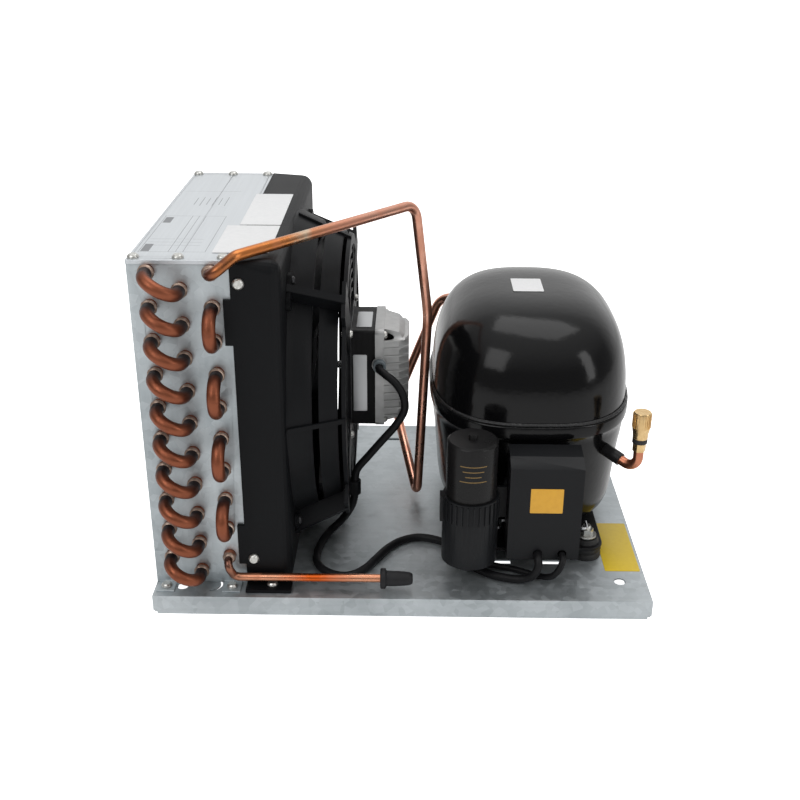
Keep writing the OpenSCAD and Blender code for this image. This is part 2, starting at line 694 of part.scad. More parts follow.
// Fan wheel: a hub and swept blades, pushed on the motor shaft
fan_x0 = shroud_x1 + 3;
fan_depth = 24;
hub_r = 30;
hub_wall = 3;
blade_t = 2;
blade_sweep = 24;
blade_steps = 8;
blade_root_span = 46;
blade_tip_span = 42;
shaft_r = motor_shaft_d * half;
boss_r = 8;
function blade_point(u, v, side) =
    let (
        r = hub_r - hub_wall * half + (fan_r - hub_r + hub_wall * half) * u,
        span = blade_root_span + (blade_tip_span - blade_root_span) * u,
        a = blade_sweep * u * u + span * (v - half),
        inner = fan_depth - 2 * blade_t,
        bow = blade_t * 2 * sin(180 * v)
    )
    [fan_x0 + blade_t + inner * (1 - v) * (1 - 0.3 * u) + bow + side * blade_t * half, r * cos(a), r * sin(a)];
module fan_blade() {
    n = blade_steps;
    cols = n + 1;
    sheet = function (side) [for (i = [0:n], j = [0:n]) blade_point(i / n, j / n, side)];
    points = concat(sheet(1), sheet(-1));
    back = cols * cols;
    quads = [for (i = [0:n - 1], j = [0:n - 1]) [i * cols + j, i * cols + j + 1, (i + 1) * cols + j + 1, (i + 1) * cols + j]];
    tops = [for (q = quads) each [[q[0], q[1], q[2]], [q[0], q[2], q[3]]]];
    bottoms = [for (q = quads) each [[back + q[0], back + q[2], back + q[1]], [back + q[0], back + q[3], back + q[2]]]];
    rim = concat(
        [for (j = [0:n - 1]) [j, j + 1]],
        [for (i = [0:n - 1]) [i * cols + n, (i + 1) * cols + n]],
        [for (j = [n:-1:1]) [n * cols + j, n * cols + j - 1]],
        [for (i = [n:-1:1]) [i * cols, (i - 1) * cols]]
    );
    edges = [for (e = rim) each [[e[1], e[0], back + e[0]], [e[1], back + e[0], back + e[1]]]];
    polyhedron(points = points, faces = concat(tops, bottoms, edges));
}
module fan_wheel() {
    color([0.15, 0.15, 0.16]) translate([0, fan_y, fan_z]) difference() {
        union() {
            for (k = [0:blade_count - 1]) rotate([360 * k / blade_count, 0, 0]) fan_blade();
            translate([fan_x0, 0, 0]) pipe_along_x(hub_r, hub_r - hub_wall, fan_depth);
            translate([fan_x0 + fan_depth * half - hub_wall * half, 0, 0]) disc_along_x(hub_r - hub_wall * half, hub_wall);
            translate([fan_x0 + 1, 0, 0]) disc_along_x(boss_r, fan_depth - 2);
        }
        translate([fan_x0 - cut, 0, 0]) disc_along_x(shaft_r + run_fit, fan_depth + 2 * cut);
    }
}
nut_r = 5.5;
nut_t = 4;
module fan_nut() {
    color("silver") translate([fan_x0 + 1 - nut_t, fan_y, fan_z]) difference() {
        rotate([0, 90, 0]) cylinder(r = nut_r, h = nut_t, $fn = 6);
        translate([-cut, 0, 0]) disc_along_x(shaft_r + run_fit, nut_t + 2 * cut);
    }
}

// Fan motor, from the fan side outwards: bracket, stack, flange and end cap
bracket_x0 = basket_x1 - 5;
bracket_t = 5;
stack_x0 = bracket_x0 + bracket_t;
stack_x1 = stack_x0 + stack_depth;
flange_x1 = stack_x1 + 7.3;
dome_depth = 20;
rotor_r = 20.5;
air_gap = 0.5;
coil_slot_y0 = 12;
coil_slot_y1 = 22;
coil_slot_z0 = 26;
coil_slot_z1 = 36;
end_turn = 3;
through_y = motor_w * half - 3.2;
through_z = motor_h * half - 4.3;
through_r = 1.6;
ear_t = 2.6;
ear_x0 = arm_x0 - ear_t - fit;
ear_w = 12;
bearing_r = 8;
bearing_len = 7;
front_bearing_x0 = bracket_x0 - 4.5;
rear_bearing_x0 = flange_x1 + dome_depth - 9.5;
cap_wall = 3;
module motor_shaft() {
    front = fan_x0 - nut_t - 1;
    color("silver") translate([front, fan_y, fan_z]) disc_along_x(shaft_r, rear_bearing_x0 + bearing_len - front);
}
module motor_rotor() {
    margin = 1;
    color("gray") translate([stack_x0 + margin, fan_y, fan_z])
        pipe_along_x(rotor_r, shaft_r + run_fit, stack_depth - 2 * margin);
}
module motor_bearings() {
    color("goldenrod") translate([0, fan_y, fan_z])
        for (x = [front_bearing_x0, rear_bearing_x0])
            translate([x, 0, 0]) pipe_along_x(bearing_r, shaft_r + run_fit, bearing_len);
}
module yz_plate(w, h, r, length) {
    rotate([0, 90, 0]) linear_extrude(length) round_plate(h, w, r);
}
motor_round = 4;
module motor_bracket() {
    cavity = bracket_t - 1.6;
    color("lightgray") translate([0, fan_y, fan_z]) difference() {
        union() {
            translate([bracket_x0, 0, 0]) yz_plate(motor_w, motor_h, motor_round, bracket_t);
            for (a = [45, -45]) rotate([a, 0, 0])
                block([ear_x0, -ear_w * half, -motor_fix * sqrt(2) - ear_w * half],
                      [ear_x0 + ear_t, ear_w * half, motor_fix * sqrt(2) + ear_w * half]);
            translate([front_bearing_x0, 0, 0]) disc_along_x(bearing_r + cap_wall, bracket_x0 - front_bearing_x0 + cut);
        }
        for (s = [-1, 1])
            block([bracket_x0 + bracket_t - cavity, -coil_slot_y1 - 1, s > 0 ? coil_slot_z0 - 1 : -coil_slot_z1 - 1],
                  [bracket_x0 + bracket_t + cut, coil_slot_y1 + 1, s > 0 ? coil_slot_z1 + 1 : -coil_slot_z0 + 1]);
        translate([front_bearing_x0 - cut, 0, 0]) disc_along_x(bearing_r + run_fit, bearing_len + 5 * cut);
        translate([stack_x0 - 1.5, 0, 0]) disc_along_x(rotor_r + air_gap, 1.5 + cut);
        for (sy = [-1, 1], sz = [-1, 1])
            translate([bracket_x0 - 2 * cut, sy * through_y, sz * through_z])
                disc_along_x(through_r + fit, bracket_t + 4 * cut);
        for (k = [0:3]) rotate([45 + 90 * k, 0, 0])
            translate([ear_x0 - cut, 0, motor_fix * sqrt(2)]) disc_along_x(screw_hole_r, ear_t + 2 * cut);
    }
}
module motor_stack() {
    color([0.16, 0.16, 0.16]) translate([0, fan_y, fan_z]) difference() {
        translate([stack_x0, 0, 0]) yz_plate(motor_w, motor_h, motor_round * half, stack_depth);
        translate([stack_x0 - cut, 0, 0]) disc_along_x(rotor_r + air_gap, stack_depth + 2 * cut);
        for (sy = [-1, 1], sz = [-1, 1])
            block([stack_x0 - cut,
                   sy > 0 ? coil_slot_y0 - fit : -coil_slot_y1 - fit,
                   sz > 0 ? coil_slot_z0 - fit : -coil_slot_z1 - fit],
                  [stack_x1 + cut,
                   sy > 0 ? coil_slot_y1 + fit : -coil_slot_y0 + fit,
                   sz > 0 ? coil_slot_z1 + fit : -coil_slot_z0 + fit]);
        for (sy = [-1, 1], sz = [-1, 1])
            translate([stack_x0 - cut, sy * through_y, sz * through_z])
                disc_along_x(through_r + fit, stack_depth + 2 * cut);
    }
}
module motor_windings() {
    color("orangered") translate([0, fan_y, fan_z])
        for (s = [-1, 1]) difference() {
            block([stack_x0 - end_turn, -coil_slot_y1, s > 0 ? coil_slot_z0 : -coil_slot_z1],
                  [stack_x1 + end_turn, coil_slot_y1, s > 0 ? coil_slot_z1 : -coil_slot_z0]);
            block([stack_x0 - fit, -coil_slot_y0, s > 0 ? coil_slot_z0 - cut : -coil_slot_z1 - cut],
                  [stack_x1 + fit, coil_slot_y0, s > 0 ? coil_slot_z1 + cut : -coil_slot_z0 + cut]);
        }
}
dome_top_w = 44;
dome_top_h = 60;
dome_mid_share = 0.6;
cap_fin_pitch = 6.6;
cap_fin_t = 1.4;
cap_fin_rise = 1.5;
dome_mid = 0.93;
module dome_form(grow) {
    round_loft([
        [motor_w * half + grow, motor_h * half + grow, motor_round + 4 + grow, flange_x1 - cut],
        [motor_w * half * dome_mid + grow, motor_h * half * dome_mid + grow, motor_round + 6 + grow,
         flange_x1 + dome_depth * dome_mid_share + grow],
        [dome_top_w * half + grow, dome_top_h * half + grow, motor_round + 4 + grow, flange_x1 + dome_depth + grow]
    ]);
}
gland_x = stack_x1 + 3.6;
gland_z = fan_z + 13;
gland_len = 5;
gland_boss = 1.5;
gland_front = fan_y - motor_w * half - 1 - gland_boss;
gland_r = 5.2;
module motor_end_cap() {
    flange_lip = 1;
    recess_r = 5;
    color("silver") translate([0, fan_y, fan_z]) difference() {
        union() {
            translate([stack_x1, 0, 0])
                yz_plate(motor_w + 2 * flange_lip, motor_h + 2 * flange_lip, motor_round, flange_x1 - stack_x1);
            dome_form(0);
            translate([gland_x, gland_front - fan_y, gland_z - fan_z]) disc_along_y(gland_r + 1, gland_boss + half);
            intersection() {
                dome_form(cap_fin_rise);
                for (k = [-5:5])
                    block([flange_x1 - half, -motor_w, k * cap_fin_pitch - cap_fin_t * half],
                          [flange_x1 + dome_depth, motor_w, k * cap_fin_pitch + cap_fin_t * half]);
            }
        }
        translate([stack_x1 - cut, 0, 0])
            yz_plate(motor_w - 2 * cap_wall, motor_h - 2 * cap_wall - 8, motor_round, flange_x1 - stack_x1 + cut);
        block([stack_x1 - cut, -coil_slot_y1 - half, -coil_slot_z1 - half],
              [stack_x1 + end_turn + half, coil_slot_y1 + half, coil_slot_z1 + half]);
        difference() {
            dome_form(-cap_wall);
            translate([rear_bearing_x0, 0, 0]) disc_along_x(bearing_r + cap_wall, dome_depth);
        }
        translate([rear_bearing_x0 - cut, 0, 0]) disc_along_x(bearing_r + run_fit, bearing_len + cut);
        for (sy = [-1, 1], sz = [-1, 1]) {
            translate([stack_x1 - cut, sy * through_y, sz * through_z])
                disc_along_x(through_r + fit, dome_depth + 10 * cut);
            translate([flange_x1, sy * through_y, sz * through_z]) disc_along_x(recess_r, dome_depth + 2 * cut);
        }
        translate([gland_x, -motor_w, gland_z - fan_z]) disc_along_y(gland_r - 1, motor_w);
    }
}
module motor_screws() {
    head_r = 3.2;
    head_h = 2.4;
    nut_h = 1.3;
    color("whitesmoke") translate([0, fan_y, fan_z]) {
        for (sy = [-1, 1], sz = [-1, 1])
            translate([flange_x1, sy * through_y, sz * through_z])
                rotate([0, 90, 0]) pan_screw(head_r, head_h, through_r, flange_x1 - bracket_x0 - half);
        for (k = [0:3]) rotate([45 + 90 * k, 0, 0])
            translate([basket_x1, 0, motor_fix * sqrt(2)])
                rotate([0, 90, 0]) pan_screw(head_r, head_h, screw_r, basket_x1 - ear_x0 + nut_h);
    }
}
module cable_gland() {
    flange_r = 6.4;
    color([0.6, 0.62, 0.64]) translate([gland_x, gland_front, gland_z]) rotate([90, 0, 0]) rotate_extrude() polygon([
        [lead_d * half + fit, fit], [flange_r * 0.86, fit], [flange_r * 0.86, gland_len * 0.45],
        [gland_r, gland_len], [lead_d * half + fit, gland_len]
    ]);
}

// Motor lead: out of the gland, round to the clip, along the tray and up into the terminal cover
cover_x = comp_x + 5;
cover_front = -124;
lead_entry = [cover_x - 4, cover_front, deck + 24];
tray_lie = deck + 3.4;
fan_cable_route = concat(
    [[gland_x, gland_front - gland_len, gland_z]],
    [
        for (p = [
            [-20, -44, 160], [-15, -49, 158], [-7, -52, 152], [-1, -54, 142], [0, -55, 130], [-7, -56, 117],
            [-18, -58, 104], [-29, -60, 91], [-38, -62, 80], [-40, -64, 70], [-40, -64, 60], [-42, -61, 48],
            [-46, -56, 37], [-51, -52, 27.5], [-56.5, -52.5, 21.3], [-61.5, -59, tray_lie],
            [-65, -69, tray_lie], [-68, -81, tray_lie], [-69.5, -93, tray_lie], [-69, -106, tray_lie],
            [-63, -118, tray_lie], [-51, -126, tray_lie], [-40, -125, tray_lie], [-30, -116, tray_lie],
            [-22, -102, tray_lie]
        ]) p + [basket_x1 + 43.7, 0, 0]
    ],
    [
        for (p = [
            [-117, -86, tray_lie], [-106, -74, tray_lie], [-92, -68, tray_lie], [-78, -71, tray_lie],
            [-67, -79, tray_lie], [-60, -91, tray_lie], [-53, -104, tray_lie], [-44, -115, tray_lie],
            [-33, -123, tray_lie], [-20, -127.5, tray_lie], [-9, -131, 21.5], [-2, -133.5, 27], [1, -133, 34],
            [1, -129.5, 39]
        ]) p + [comp_x, 0, 0]
    ],
    [lead_entry]
);
module fan_cable() {
    color([0.08, 0.08, 0.08]) swept_tube(smooth_route(fan_cable_route, 2), lead_d * half, 8, [0, 0, 1]);
}
clip_y = -64;
clip_z = 65;
clip_h = 12;
clip_wall = 1.4;
module cable_clip() {
    cx = basket_x1 + 3.7;
    r = lead_d * half + gap;
    color([0.1, 0.1, 0.1]) translate([cx, clip_y, clip_z - clip_h * half]) difference() {
        union() {
            cylinder(r = r + clip_wall, h = clip_h);
            block([basket_x1 - cx, -r - clip_wall, 0], [0, r + clip_wall, clip_h]);
        }
        translate([0, 0, -cut]) cylinder(r = r, h = clip_h + 2 * cut);
        block([-2 * r, -2 * r, -cut], [basket_x1 - cx + fit, 2 * r, clip_h + cut]);
    }
}

// Compressor shell: oval rings lofted from the base to the crown
oval_sides = 44;
oval_power = 2.75;
shell_share = dome_b / dome_a;
base_z = deck + 10;
base_t = 2.5;
shell_bottom = base_z + base_t;
seam_z = deck + seam_h;
crown_z = deck + dome_top;
dome_spring = seam_z - 24;
dome_power = 3.4;
lip_a = dome_a + 2;
rim_overlap = 9;
function signed_pow(v, p) = sign(v) * pow(abs(v), p);
function oval(a, z) = [
    for (k = [0:oval_sides - 1])
        let (t = 360 * k / oval_sides)
        [a * signed_pow(cos(t), 2 / oval_power), a * shell_share * signed_pow(sin(t), 2 / oval_power), z]
];
module oval_loft(sections) {
    n = oval_sides;
    rings = len(sections);
    points = [for (s = sections) each oval(s[0], s[1])];
    walls = [
        for (i = [0:rings - 2], k = [0:n - 1])
            let (a = i * n + k, b = i * n + (k + 1) % n)
            each [[a, b + n, b], [a, a + n, b + n]]
    ];
    bottom = [for (k = [0:n - 1]) k];
    top = [for (k = [n - 1:-1:0]) (rings - 1) * n + k];
    polyhedron(points = points, faces = concat([bottom], walls, [top]));
}
function dome_a_at(z, shrink) =
    let (rise = (crown_z - shrink) - dome_spring, f = min(max((z - dome_spring) / rise, 0), 1))
    max((dome_a - shrink) * pow(1 - pow(f, dome_power), 1 / dome_power), dome_a * 0.04);
dome_levels = [0, 0.3, 0.45, 0.58, 0.7, 0.8, 0.88, 0.94, 0.975, 0.994, 1];
function dome_sections(shrink, foot) = [
    for (s = dome_levels)
        let (z = foot + (crown_z - shrink - foot) * s)
        [dome_a_at(z, shrink), z]
];
// Lower shell profile: shares of the dome's half width, from the base to the rim
bowl_shares = [[0.64, 0], [0.78, 0.04], [0.86, 0.1], [0.91, 0.2], [0.935, 0.42], [0.96, 0.68], [0.985, 0.86]];
bowl_h = seam_z - rim_overlap - 4 - shell_bottom;
function bowl_sections(shrink) = concat(
    [for (s = bowl_shares) [dome_a * s[0] - shrink, shell_bottom + (s[0] == bowl_shares[0][0] ? shrink : 0) + bowl_h * s[1]]],
    [[dome_a - shrink, seam_z - rim_overlap - 4]]
);
port_gap = 0.25;
discharge_port = [discharge_route[7], discharge_route[8]];
suction_z = deck + 72;
suction_angle = 52;
suction_dir = [cos(suction_angle), sin(suction_angle), 0];
suction_root = [comp_x, comp_y, suction_z] + [suction_dir[0] * 70, suction_dir[1] * 92, 0];
valve_x = tray_len * half - 9;
valve_y = -90;
valve_z = deck + 98;
service_route = [
    [comp_x + 48, comp_y - 74, deck + 89],
    [comp_x + 64, comp_y - 96, deck + 86],
    [valve_x, valve_y, deck + 80],
    [valve_x, valve_y, valve_z + 1]
];
module port_bore(from, to, d) {
    route = [from, to + (to - from) * half];
    swept_tube(route, d * half + port_gap, 16, [0, 0.1, 1]);
}
module lower_shell() {
    color([0.07, 0.07, 0.08]) difference() {
        translate([comp_x, comp_y, 0]) difference() {
            oval_loft(concat(bowl_sections(0), [[lip_a, seam_z - rim_overlap], [lip_a, seam_z]]));
            oval_loft(concat(bowl_sections(shell_wall), [
                [dome_a - shell_wall, seam_z - rim_overlap], [dome_a - shell_wall, seam_z - rim_overlap + fit],
                [dome_a + fit, seam_z - rim_overlap + 2 * fit], [dome_a + fit, seam_z + cut]
            ]));
        }
        port_bore(suction_root, suction_root + suction_dir * 20, pipe_d);
        port_bore(service_route[0], service_route[1], pipe_d);
    }
}
module upper_shell() {
    color([0.07, 0.07, 0.08]) difference() {
        translate([comp_x, comp_y, 0]) difference() {
            oval_loft(dome_sections(0, seam_z - rim_overlap + 4 * fit));
            oval_loft(dome_sections(shell_wall, seam_z - rim_overlap - cut));
        }
        port_bore(discharge_port[1], discharge_port[0], pipe_d);
    }
}
module weld_bead() {
    // one closed band: half widths and levels of its corners, carried round the oval
    corners = [
        [dome_a + fit, seam_z + fit], [lip_a - half, seam_z + fit], [lip_a - 2 * half, seam_z + 1.3], [dome_a + fit, seam_z + 2.4]
    ];
    rings = [for (c = corners) oval(c[0], c[1])];
    n = oval_sides;
    m = len(corners);
    faces = [
        for (j = [0:m - 1], k = [0:n - 1])
            let (a = j * n + k, b = j * n + (k + 1) % n, c = (j + 1) % m * n + k, d = (j + 1) % m * n + (k + 1) % n)
            each [[a, d, b], [a, c, d]]
    ];
    color([0.09, 0.09, 0.1]) translate([comp_x, comp_y, 0]) polyhedron(points = [for (r = rings) each r], faces = faces);
}

// Base plate, rubber grommets, sleeves and bolts
grommet_r = 12.5;
groove_r = 8;
grommet_top = base_z + base_t + 4.5;
sleeve_r = 5;
sleeve_bore_r = 3.3;
bolt_r = 3;
foot_places = [
    for (sx = [-1, 1], sy = [-1, 1]) [base_x + sx * foot_pitch_x * half, comp_y + sy * foot_pitch_y * half]
];
base_margin = 13;
module shell_base() {
    waist = 26;
    color([0.09, 0.09, 0.09]) difference() {
        translate([base_x, comp_y, base_z]) linear_extrude(base_t)
            round_plate(foot_pitch_x + 2 * base_margin, foot_pitch_y + 2 * base_margin, base_margin);
        for (s = [-1, 1])
            translate([base_x + s * (foot_pitch_x * half + base_margin + waist), comp_y, base_z - cut])
                cylinder(r = 2 * waist, h = base_t + 2 * cut);
        for (p = foot_places)
            translate([p[0], p[1], base_z - cut]) cylinder(r = groove_r + fit, h = base_t + 2 * cut);
    }
}
module rubber_grommets() {
    color([0.05, 0.05, 0.05]) for (p = foot_places) translate([p[0], p[1], 0]) rotate_extrude() polygon([
        [sleeve_r + fit, deck], [grommet_r, deck], [grommet_r, deck + 3], [grommet_r - 1.5, deck + 5],
        [grommet_r, deck + 7], [grommet_r, base_z - fit], [groove_r, base_z - fit],
        [groove_r, base_z + base_t + fit], [grommet_r - 2, base_z + base_t + fit],
        [grommet_r - 3, grommet_top], [sleeve_r + fit, grommet_top]
    ]);
}
module grommet_sleeves() {
    color("silver") for (p = foot_places) translate([p[0], p[1], deck]) difference() {
        cylinder(r = sleeve_r, h = grommet_top - deck + half);
        translate([0, 0, -cut]) cylinder(r = sleeve_bore_r, h = grommet_top - deck + 3 * cut);
    }
}
washer_t = 1.5;
washer_r = 8;
nut_h = 5;
bolt_head_h = 4;
bolt_head_r = 5.5;
module compressor_bolts() {
    bottom = deck - sheet_t - gap;
    top = grommet_top + half + fit;
    color("lightgray") for (p = foot_places) translate([p[0], p[1], 0]) {
        translate([0, 0, bottom - bolt_head_h]) cylinder(r = bolt_head_r, h = bolt_head_h, $fn = 6);
        translate([0, 0, bottom]) cylinder(r = bolt_r, h = top + washer_t + nut_h + 3 - bottom);
        translate([0, 0, top]) cylinder(r = washer_r, h = washer_t);
        translate([0, 0, top + washer_t]) cylinder(r = bolt_head_r, h = nut_h, $fn = 6);
    }
}

// Inside the shell: a motor below, the crank and the cylinder above it
stator_r = 62;
stator_z0 = deck + 31;
stator_h = 48;
comp_rotor_r = 32;
comp_gap = 0.6;
crank_r = 9;
pin_r = 7;
block_z0 = stator_z0 + stator_h + 17;
block_t = 16;
bore_z = block_z0 + block_t + 13;
bore_r = cylinder_bore * half;
barrel_y0 = comp_y + 34;
barrel_y1 = comp_y + 70;
barrel_r = bore_r + 6;
piston_len = 20;
piston_mid = comp_y + 51;
winding_in = 35;
winding_out = 46;
winding_h = 12;
module compressor_stator() {
    color("dimgray") translate([comp_x, comp_y, stator_z0]) difference() {
        cylinder(r = stator_r, h = stator_h);
        translate([0, 0, -cut]) cylinder(r = comp_rotor_r + comp_gap, h = stator_h + 2 * cut);
    }
}
module compressor_windings() {
    color("orangered") translate([comp_x, comp_y, 0])
        for (z = [stator_z0 + stator_h + fit, stator_z0 - winding_h - fit]) translate([0, 0, z]) difference() {
            cylinder(r = winding_out, h = winding_h);
            translate([0, 0, -cut]) cylinder(r = winding_in, h = winding_h + 2 * cut);
        }
}
module compressor_rotor() {
    color("gray") translate([comp_x, comp_y, stator_z0]) difference() {
        cylinder(r = comp_rotor_r, h = stator_h);
        translate([0, 0, -cut]) cylinder(r = crank_r + run_fit, h = stator_h + 2 * cut);
    }
}
module crankshaft() {
    web_t = 5;
    web_top = bore_z - pin_r * 1.2;
    color("silver") translate([comp_x, comp_y, 0]) {
        translate([0, 0, stator_z0 - 8]) cylinder(r = crank_r, h = web_top - stator_z0 + 8);
        translate([0, 0, web_top - web_t]) cylinder(r = crank_r + crank_throw * half, h = web_t);
        translate([0, crank_throw, web_top]) cylinder(r = pin_r, h = 2.4 * pin_r);
    }
}
module cylinder_block() {
    post_r = 5;
    post_ring = stator_r - 8;
    bearing_wall = 10;
    color("darkgray") difference() {
        union() {
            translate([comp_x, comp_y, block_z0]) cylinder(r = crank_r + bearing_wall, h = block_t - 8);
            for (a = [20, 160, 200, 340]) translate([comp_x, comp_y, block_z0]) rotate([0, 0, a]) {
                block([0, -post_r, 0], [post_ring, post_r, 6]);
                translate([post_ring, 0, stator_z0 + stator_h + fit - block_z0])
                    cylinder(r = post_r, h = block_z0 - stator_z0 - stator_h - fit + 6);
            }
            translate([comp_x, barrel_y0, bore_z]) disc_along_y(barrel_r, barrel_y1 - barrel_y0);
            block([comp_x - barrel_r, comp_y, block_z0], [comp_x + barrel_r, barrel_y1, block_z0 + 7]);
            block([comp_x - barrel_r, barrel_y0, block_z0], [comp_x + barrel_r, barrel_y1, bore_z]);
        }
        translate([comp_x, comp_y, block_z0 - cut]) cylinder(r = crank_r + run_fit, h = block_t + 2 * cut);
        translate([comp_x, barrel_y0 - cut, bore_z]) disc_along_y(bore_r, barrel_y1 - barrel_y0 + 2 * cut);
    }
}
module cylinder_head() {
    depth = 12;
    w = 2 * barrel_r;
    color("slategray") difference() {
        block([comp_x - w * half, barrel_y1 + fit, bore_z - barrel_r], [comp_x + w * half, barrel_y1 + depth, bore_z + barrel_r]);
        translate([comp_x, barrel_y1 + depth - 5, bore_z]) disc_along_y(bore_r, 5 + cut);
    }
}
module piston() {
    skirt = 3;
    crown = 5;
    pin_hole = 3;
    color("lightsteelblue") translate([comp_x, piston_mid - piston_len * half, bore_z]) difference() {
        disc_along_y(bore_r - run_fit, piston_len);
        translate([0, -cut, 0]) disc_along_y(bore_r - skirt, piston_len - crown + cut);
        translate([-bore_r, piston_len * 0.45, 0]) disc_along_x(pin_hole, 2 * bore_r);
    }
}
module connecting_rod() {
    rod_r = 3.5;
    pin_l = 2 * (bore_r - 1.5);
    reach = piston_mid - piston_len * 0.05 - (comp_y + crank_throw + pin_r + crank_throw + 1);
    color("gray") {
        translate([comp_x - pin_l * half, piston_mid - piston_len * 0.05, bore_z]) disc_along_x(3 - run_fit, pin_l);
        translate([comp_x, piston_mid - piston_len * 0.05 - reach, bore_z]) disc_along_y(rod_r, reach);
    }
}
module suspension_springs() {
    spread_x = 32;
    spread_y = 42;
    spring_r = 6;
    wire = 2;
    color("silver") for (sx = [-1, 1], sy = [-1, 1])
        translate([comp_x + sx * spread_x, comp_y + sy * spread_y, shell_bottom + shell_wall + fit]) difference() {
            cylinder(r = spring_r, h = stator_z0 - shell_bottom - shell_wall - 3 * fit);
            translate([0, 0, -cut]) cylinder(r = spring_r - wire, h = stator_z0 - shell_bottom);
        }
}
shock_start = [comp_x - barrel_r, barrel_y1 + 6, bore_z];
shock_d = 5;
port_dir = unit(discharge_port[1] - discharge_port[0]);
shock_end = discharge_port[1] + port_dir * fit;
shock_route = [
    shock_start, shock_start + [-12, 0, 0], shock_end + port_dir * 14, shock_end
];
module shock_loop() {
    color("peru") swept_tube(bent_route(shock_route, [7, 5], 5), shock_d * half, 8);
}
suction_reach = 34;
suction_up = 46;
module suction_stub() {
    far = suction_root + suction_dir * suction_reach;
    bend = 9;
    corner = [far, far + [0, 0, suction_up]];
    color("peru") {
        swept_tube(bent_route([suction_root, far, corner[1]], [bend], 6), pipe_d * half * shrink_share, 12);
        translate(far + [0, 0, bend + 3]) cylinder(d = pipe_d, h = suction_up - bend - 3);
    }
}

// Electrics on the front of the lower shell
cover_wall = 2;
cover_z0 = deck + 19;
cover_z1 = cover_z0 + cover_h;
cover_depth = 28.7;
fence_w = cover_w - 2 * cover_wall - 2 * gap;
fence_z0 = deck + 28;
fence_z1 = deck + 82;
fence_front = cover_front + cover_depth - 1.7;
fence_depth = 25;
bail_y = fence_front + 6;
bail_z = deck + 34;
bail_r = 1.1;
module shell_clearance() {
    translate([comp_x, comp_y, 0])
        oval_loft(concat([for (s = bowl_sections(-gap)) s], [[lip_a + gap, seam_z - rim_overlap - gap], [lip_a + gap, seam_z + cut]]));
}
module terminal_fence() {
    wall = 2.4;
    color([0.1, 0.1, 0.1]) difference() {
        block([cover_x - fence_w * half, fence_front, fence_z0], [cover_x + fence_w * half, fence_front + fence_depth, fence_z1]);
        block([cover_x - fence_w * half + wall, fence_front - cut, fence_z0 + wall],
              [cover_x + fence_w * half - wall, fence_front + fence_depth + cut, fence_z1 - wall]);
        shell_clearance();
        translate([cover_x - fence_w, bail_y, bail_z]) disc_along_x(bail_r + run_fit, 2 * fence_w);
    }
}
terminal_z = deck + 60;
module terminal_pins() {
    seat_r = 13;
    seat_t = 3;
    pin = 1.6;
    color("lightsteelblue") difference() {
        union() {
            translate([cover_x, fence_front + 8, terminal_z]) disc_along_y(seat_r, seat_t + 10);
            for (a = [90, 210, 330])
                translate([cover_x + 7 * cos(a), fence_front, terminal_z + 7 * sin(a)]) disc_along_y(pin, 10);
        }
        shell_clearance();
    }
}
module start_relay() {
    w = 42;
    color([0.2, 0.2, 0.22]) {
        block([cover_x - w * half, cover_front + cover_wall + 3, fence_z0 + 6], [cover_x + 2, fence_front - gap, fence_z1 - 4]);
        translate([cover_x + w * half - 9, cover_front + cover_wall + 3, terminal_z])
            disc_along_y(9, fence_front - gap - cover_front - cover_wall - 3);
    }
}
module cover_profile(inset) {
    // side view of the cover: front face, sloping shoulder and the shelf behind it
    polygon([
        [cover_front + inset, cover_z0], [cover_front + inset, cover_z1 - inset],
        [cover_front + cover_depth * 0.42 + inset * half, cover_z1 + 5 - inset],
        [cover_front + cover_depth + (inset > 0 ? cut : 0), cover_z1 + 7 - inset],
        [cover_front + cover_depth + (inset > 0 ? cut : 0), cover_z0]
    ]);
}
entry_r = lead_d * half + 3 * fit;
lead2_entry = [cover_x + 15, cover_front, deck + 24];
module terminal_cover() {
    x0 = cover_x - cover_w * half;
    color([0.14, 0.14, 0.15]) difference() {
        translate([x0, 0, 0]) rotate([90, 0, 90]) linear_extrude(cover_w) cover_profile(0);
        translate([x0 + cover_wall, 0, cover_wall]) rotate([90, 0, 90])
            linear_extrude(cover_w - 2 * cover_wall) cover_profile(cover_wall);
        for (e = [lead_entry, lead2_entry])
            translate([e[0], e[1] - cut, e[2]]) disc_along_y(entry_r, cover_wall + 2 * cut);
    }
}
loop_r = 3;
loop_len = 8;
module cover_clip() {
    reach = cover_w * half + 3;
    color("gainsboro") {
        translate([cover_x - reach, bail_y, bail_z]) disc_along_x(bail_r, 2 * reach);
        for (s = [-1, 1]) translate([cover_x + s * reach, bail_y, bail_z]) {
            sphere(r = bail_r);
            translate([0, -loop_len, 0]) disc_along_y(bail_r, loop_len);
            translate([s * loop_r, -loop_len, 0]) rotate([180, 0, 0])
                rotate_extrude(angle = 180) translate([loop_r, 0]) circle(r = bail_r);
            translate([s * 2 * loop_r, -loop_len, 0]) disc_along_y(bail_r, loop_len);
        }
    }
}
cap_x = cover_x - 57.1;
cap_y = -118;
cap_z0 = deck + 20.5;
module capacitor() {
    stud_r = 3.4;
    stud_h = 4;
    top_rim = 1.5;
    color([0.13, 0.13, 0.14]) translate([cap_x, cap_y, cap_z0]) {
        rotate_extrude() polygon([
            [0, 0], [capacitor_d * half - top_rim, 0], [capacitor_d * half, top_rim],
            [capacitor_d * half, capacitor_len - top_rim], [capacitor_d * half - top_rim, capacitor_len], [0, capacitor_len]
        ]);
        translate([0, 0, capacitor_len]) cylinder(r = stud_r, h = stud_h);
    }
}
holder_wall = 2.2;
holder_h = 56;
holder_z0 = cap_z0 - holder_wall - fit;
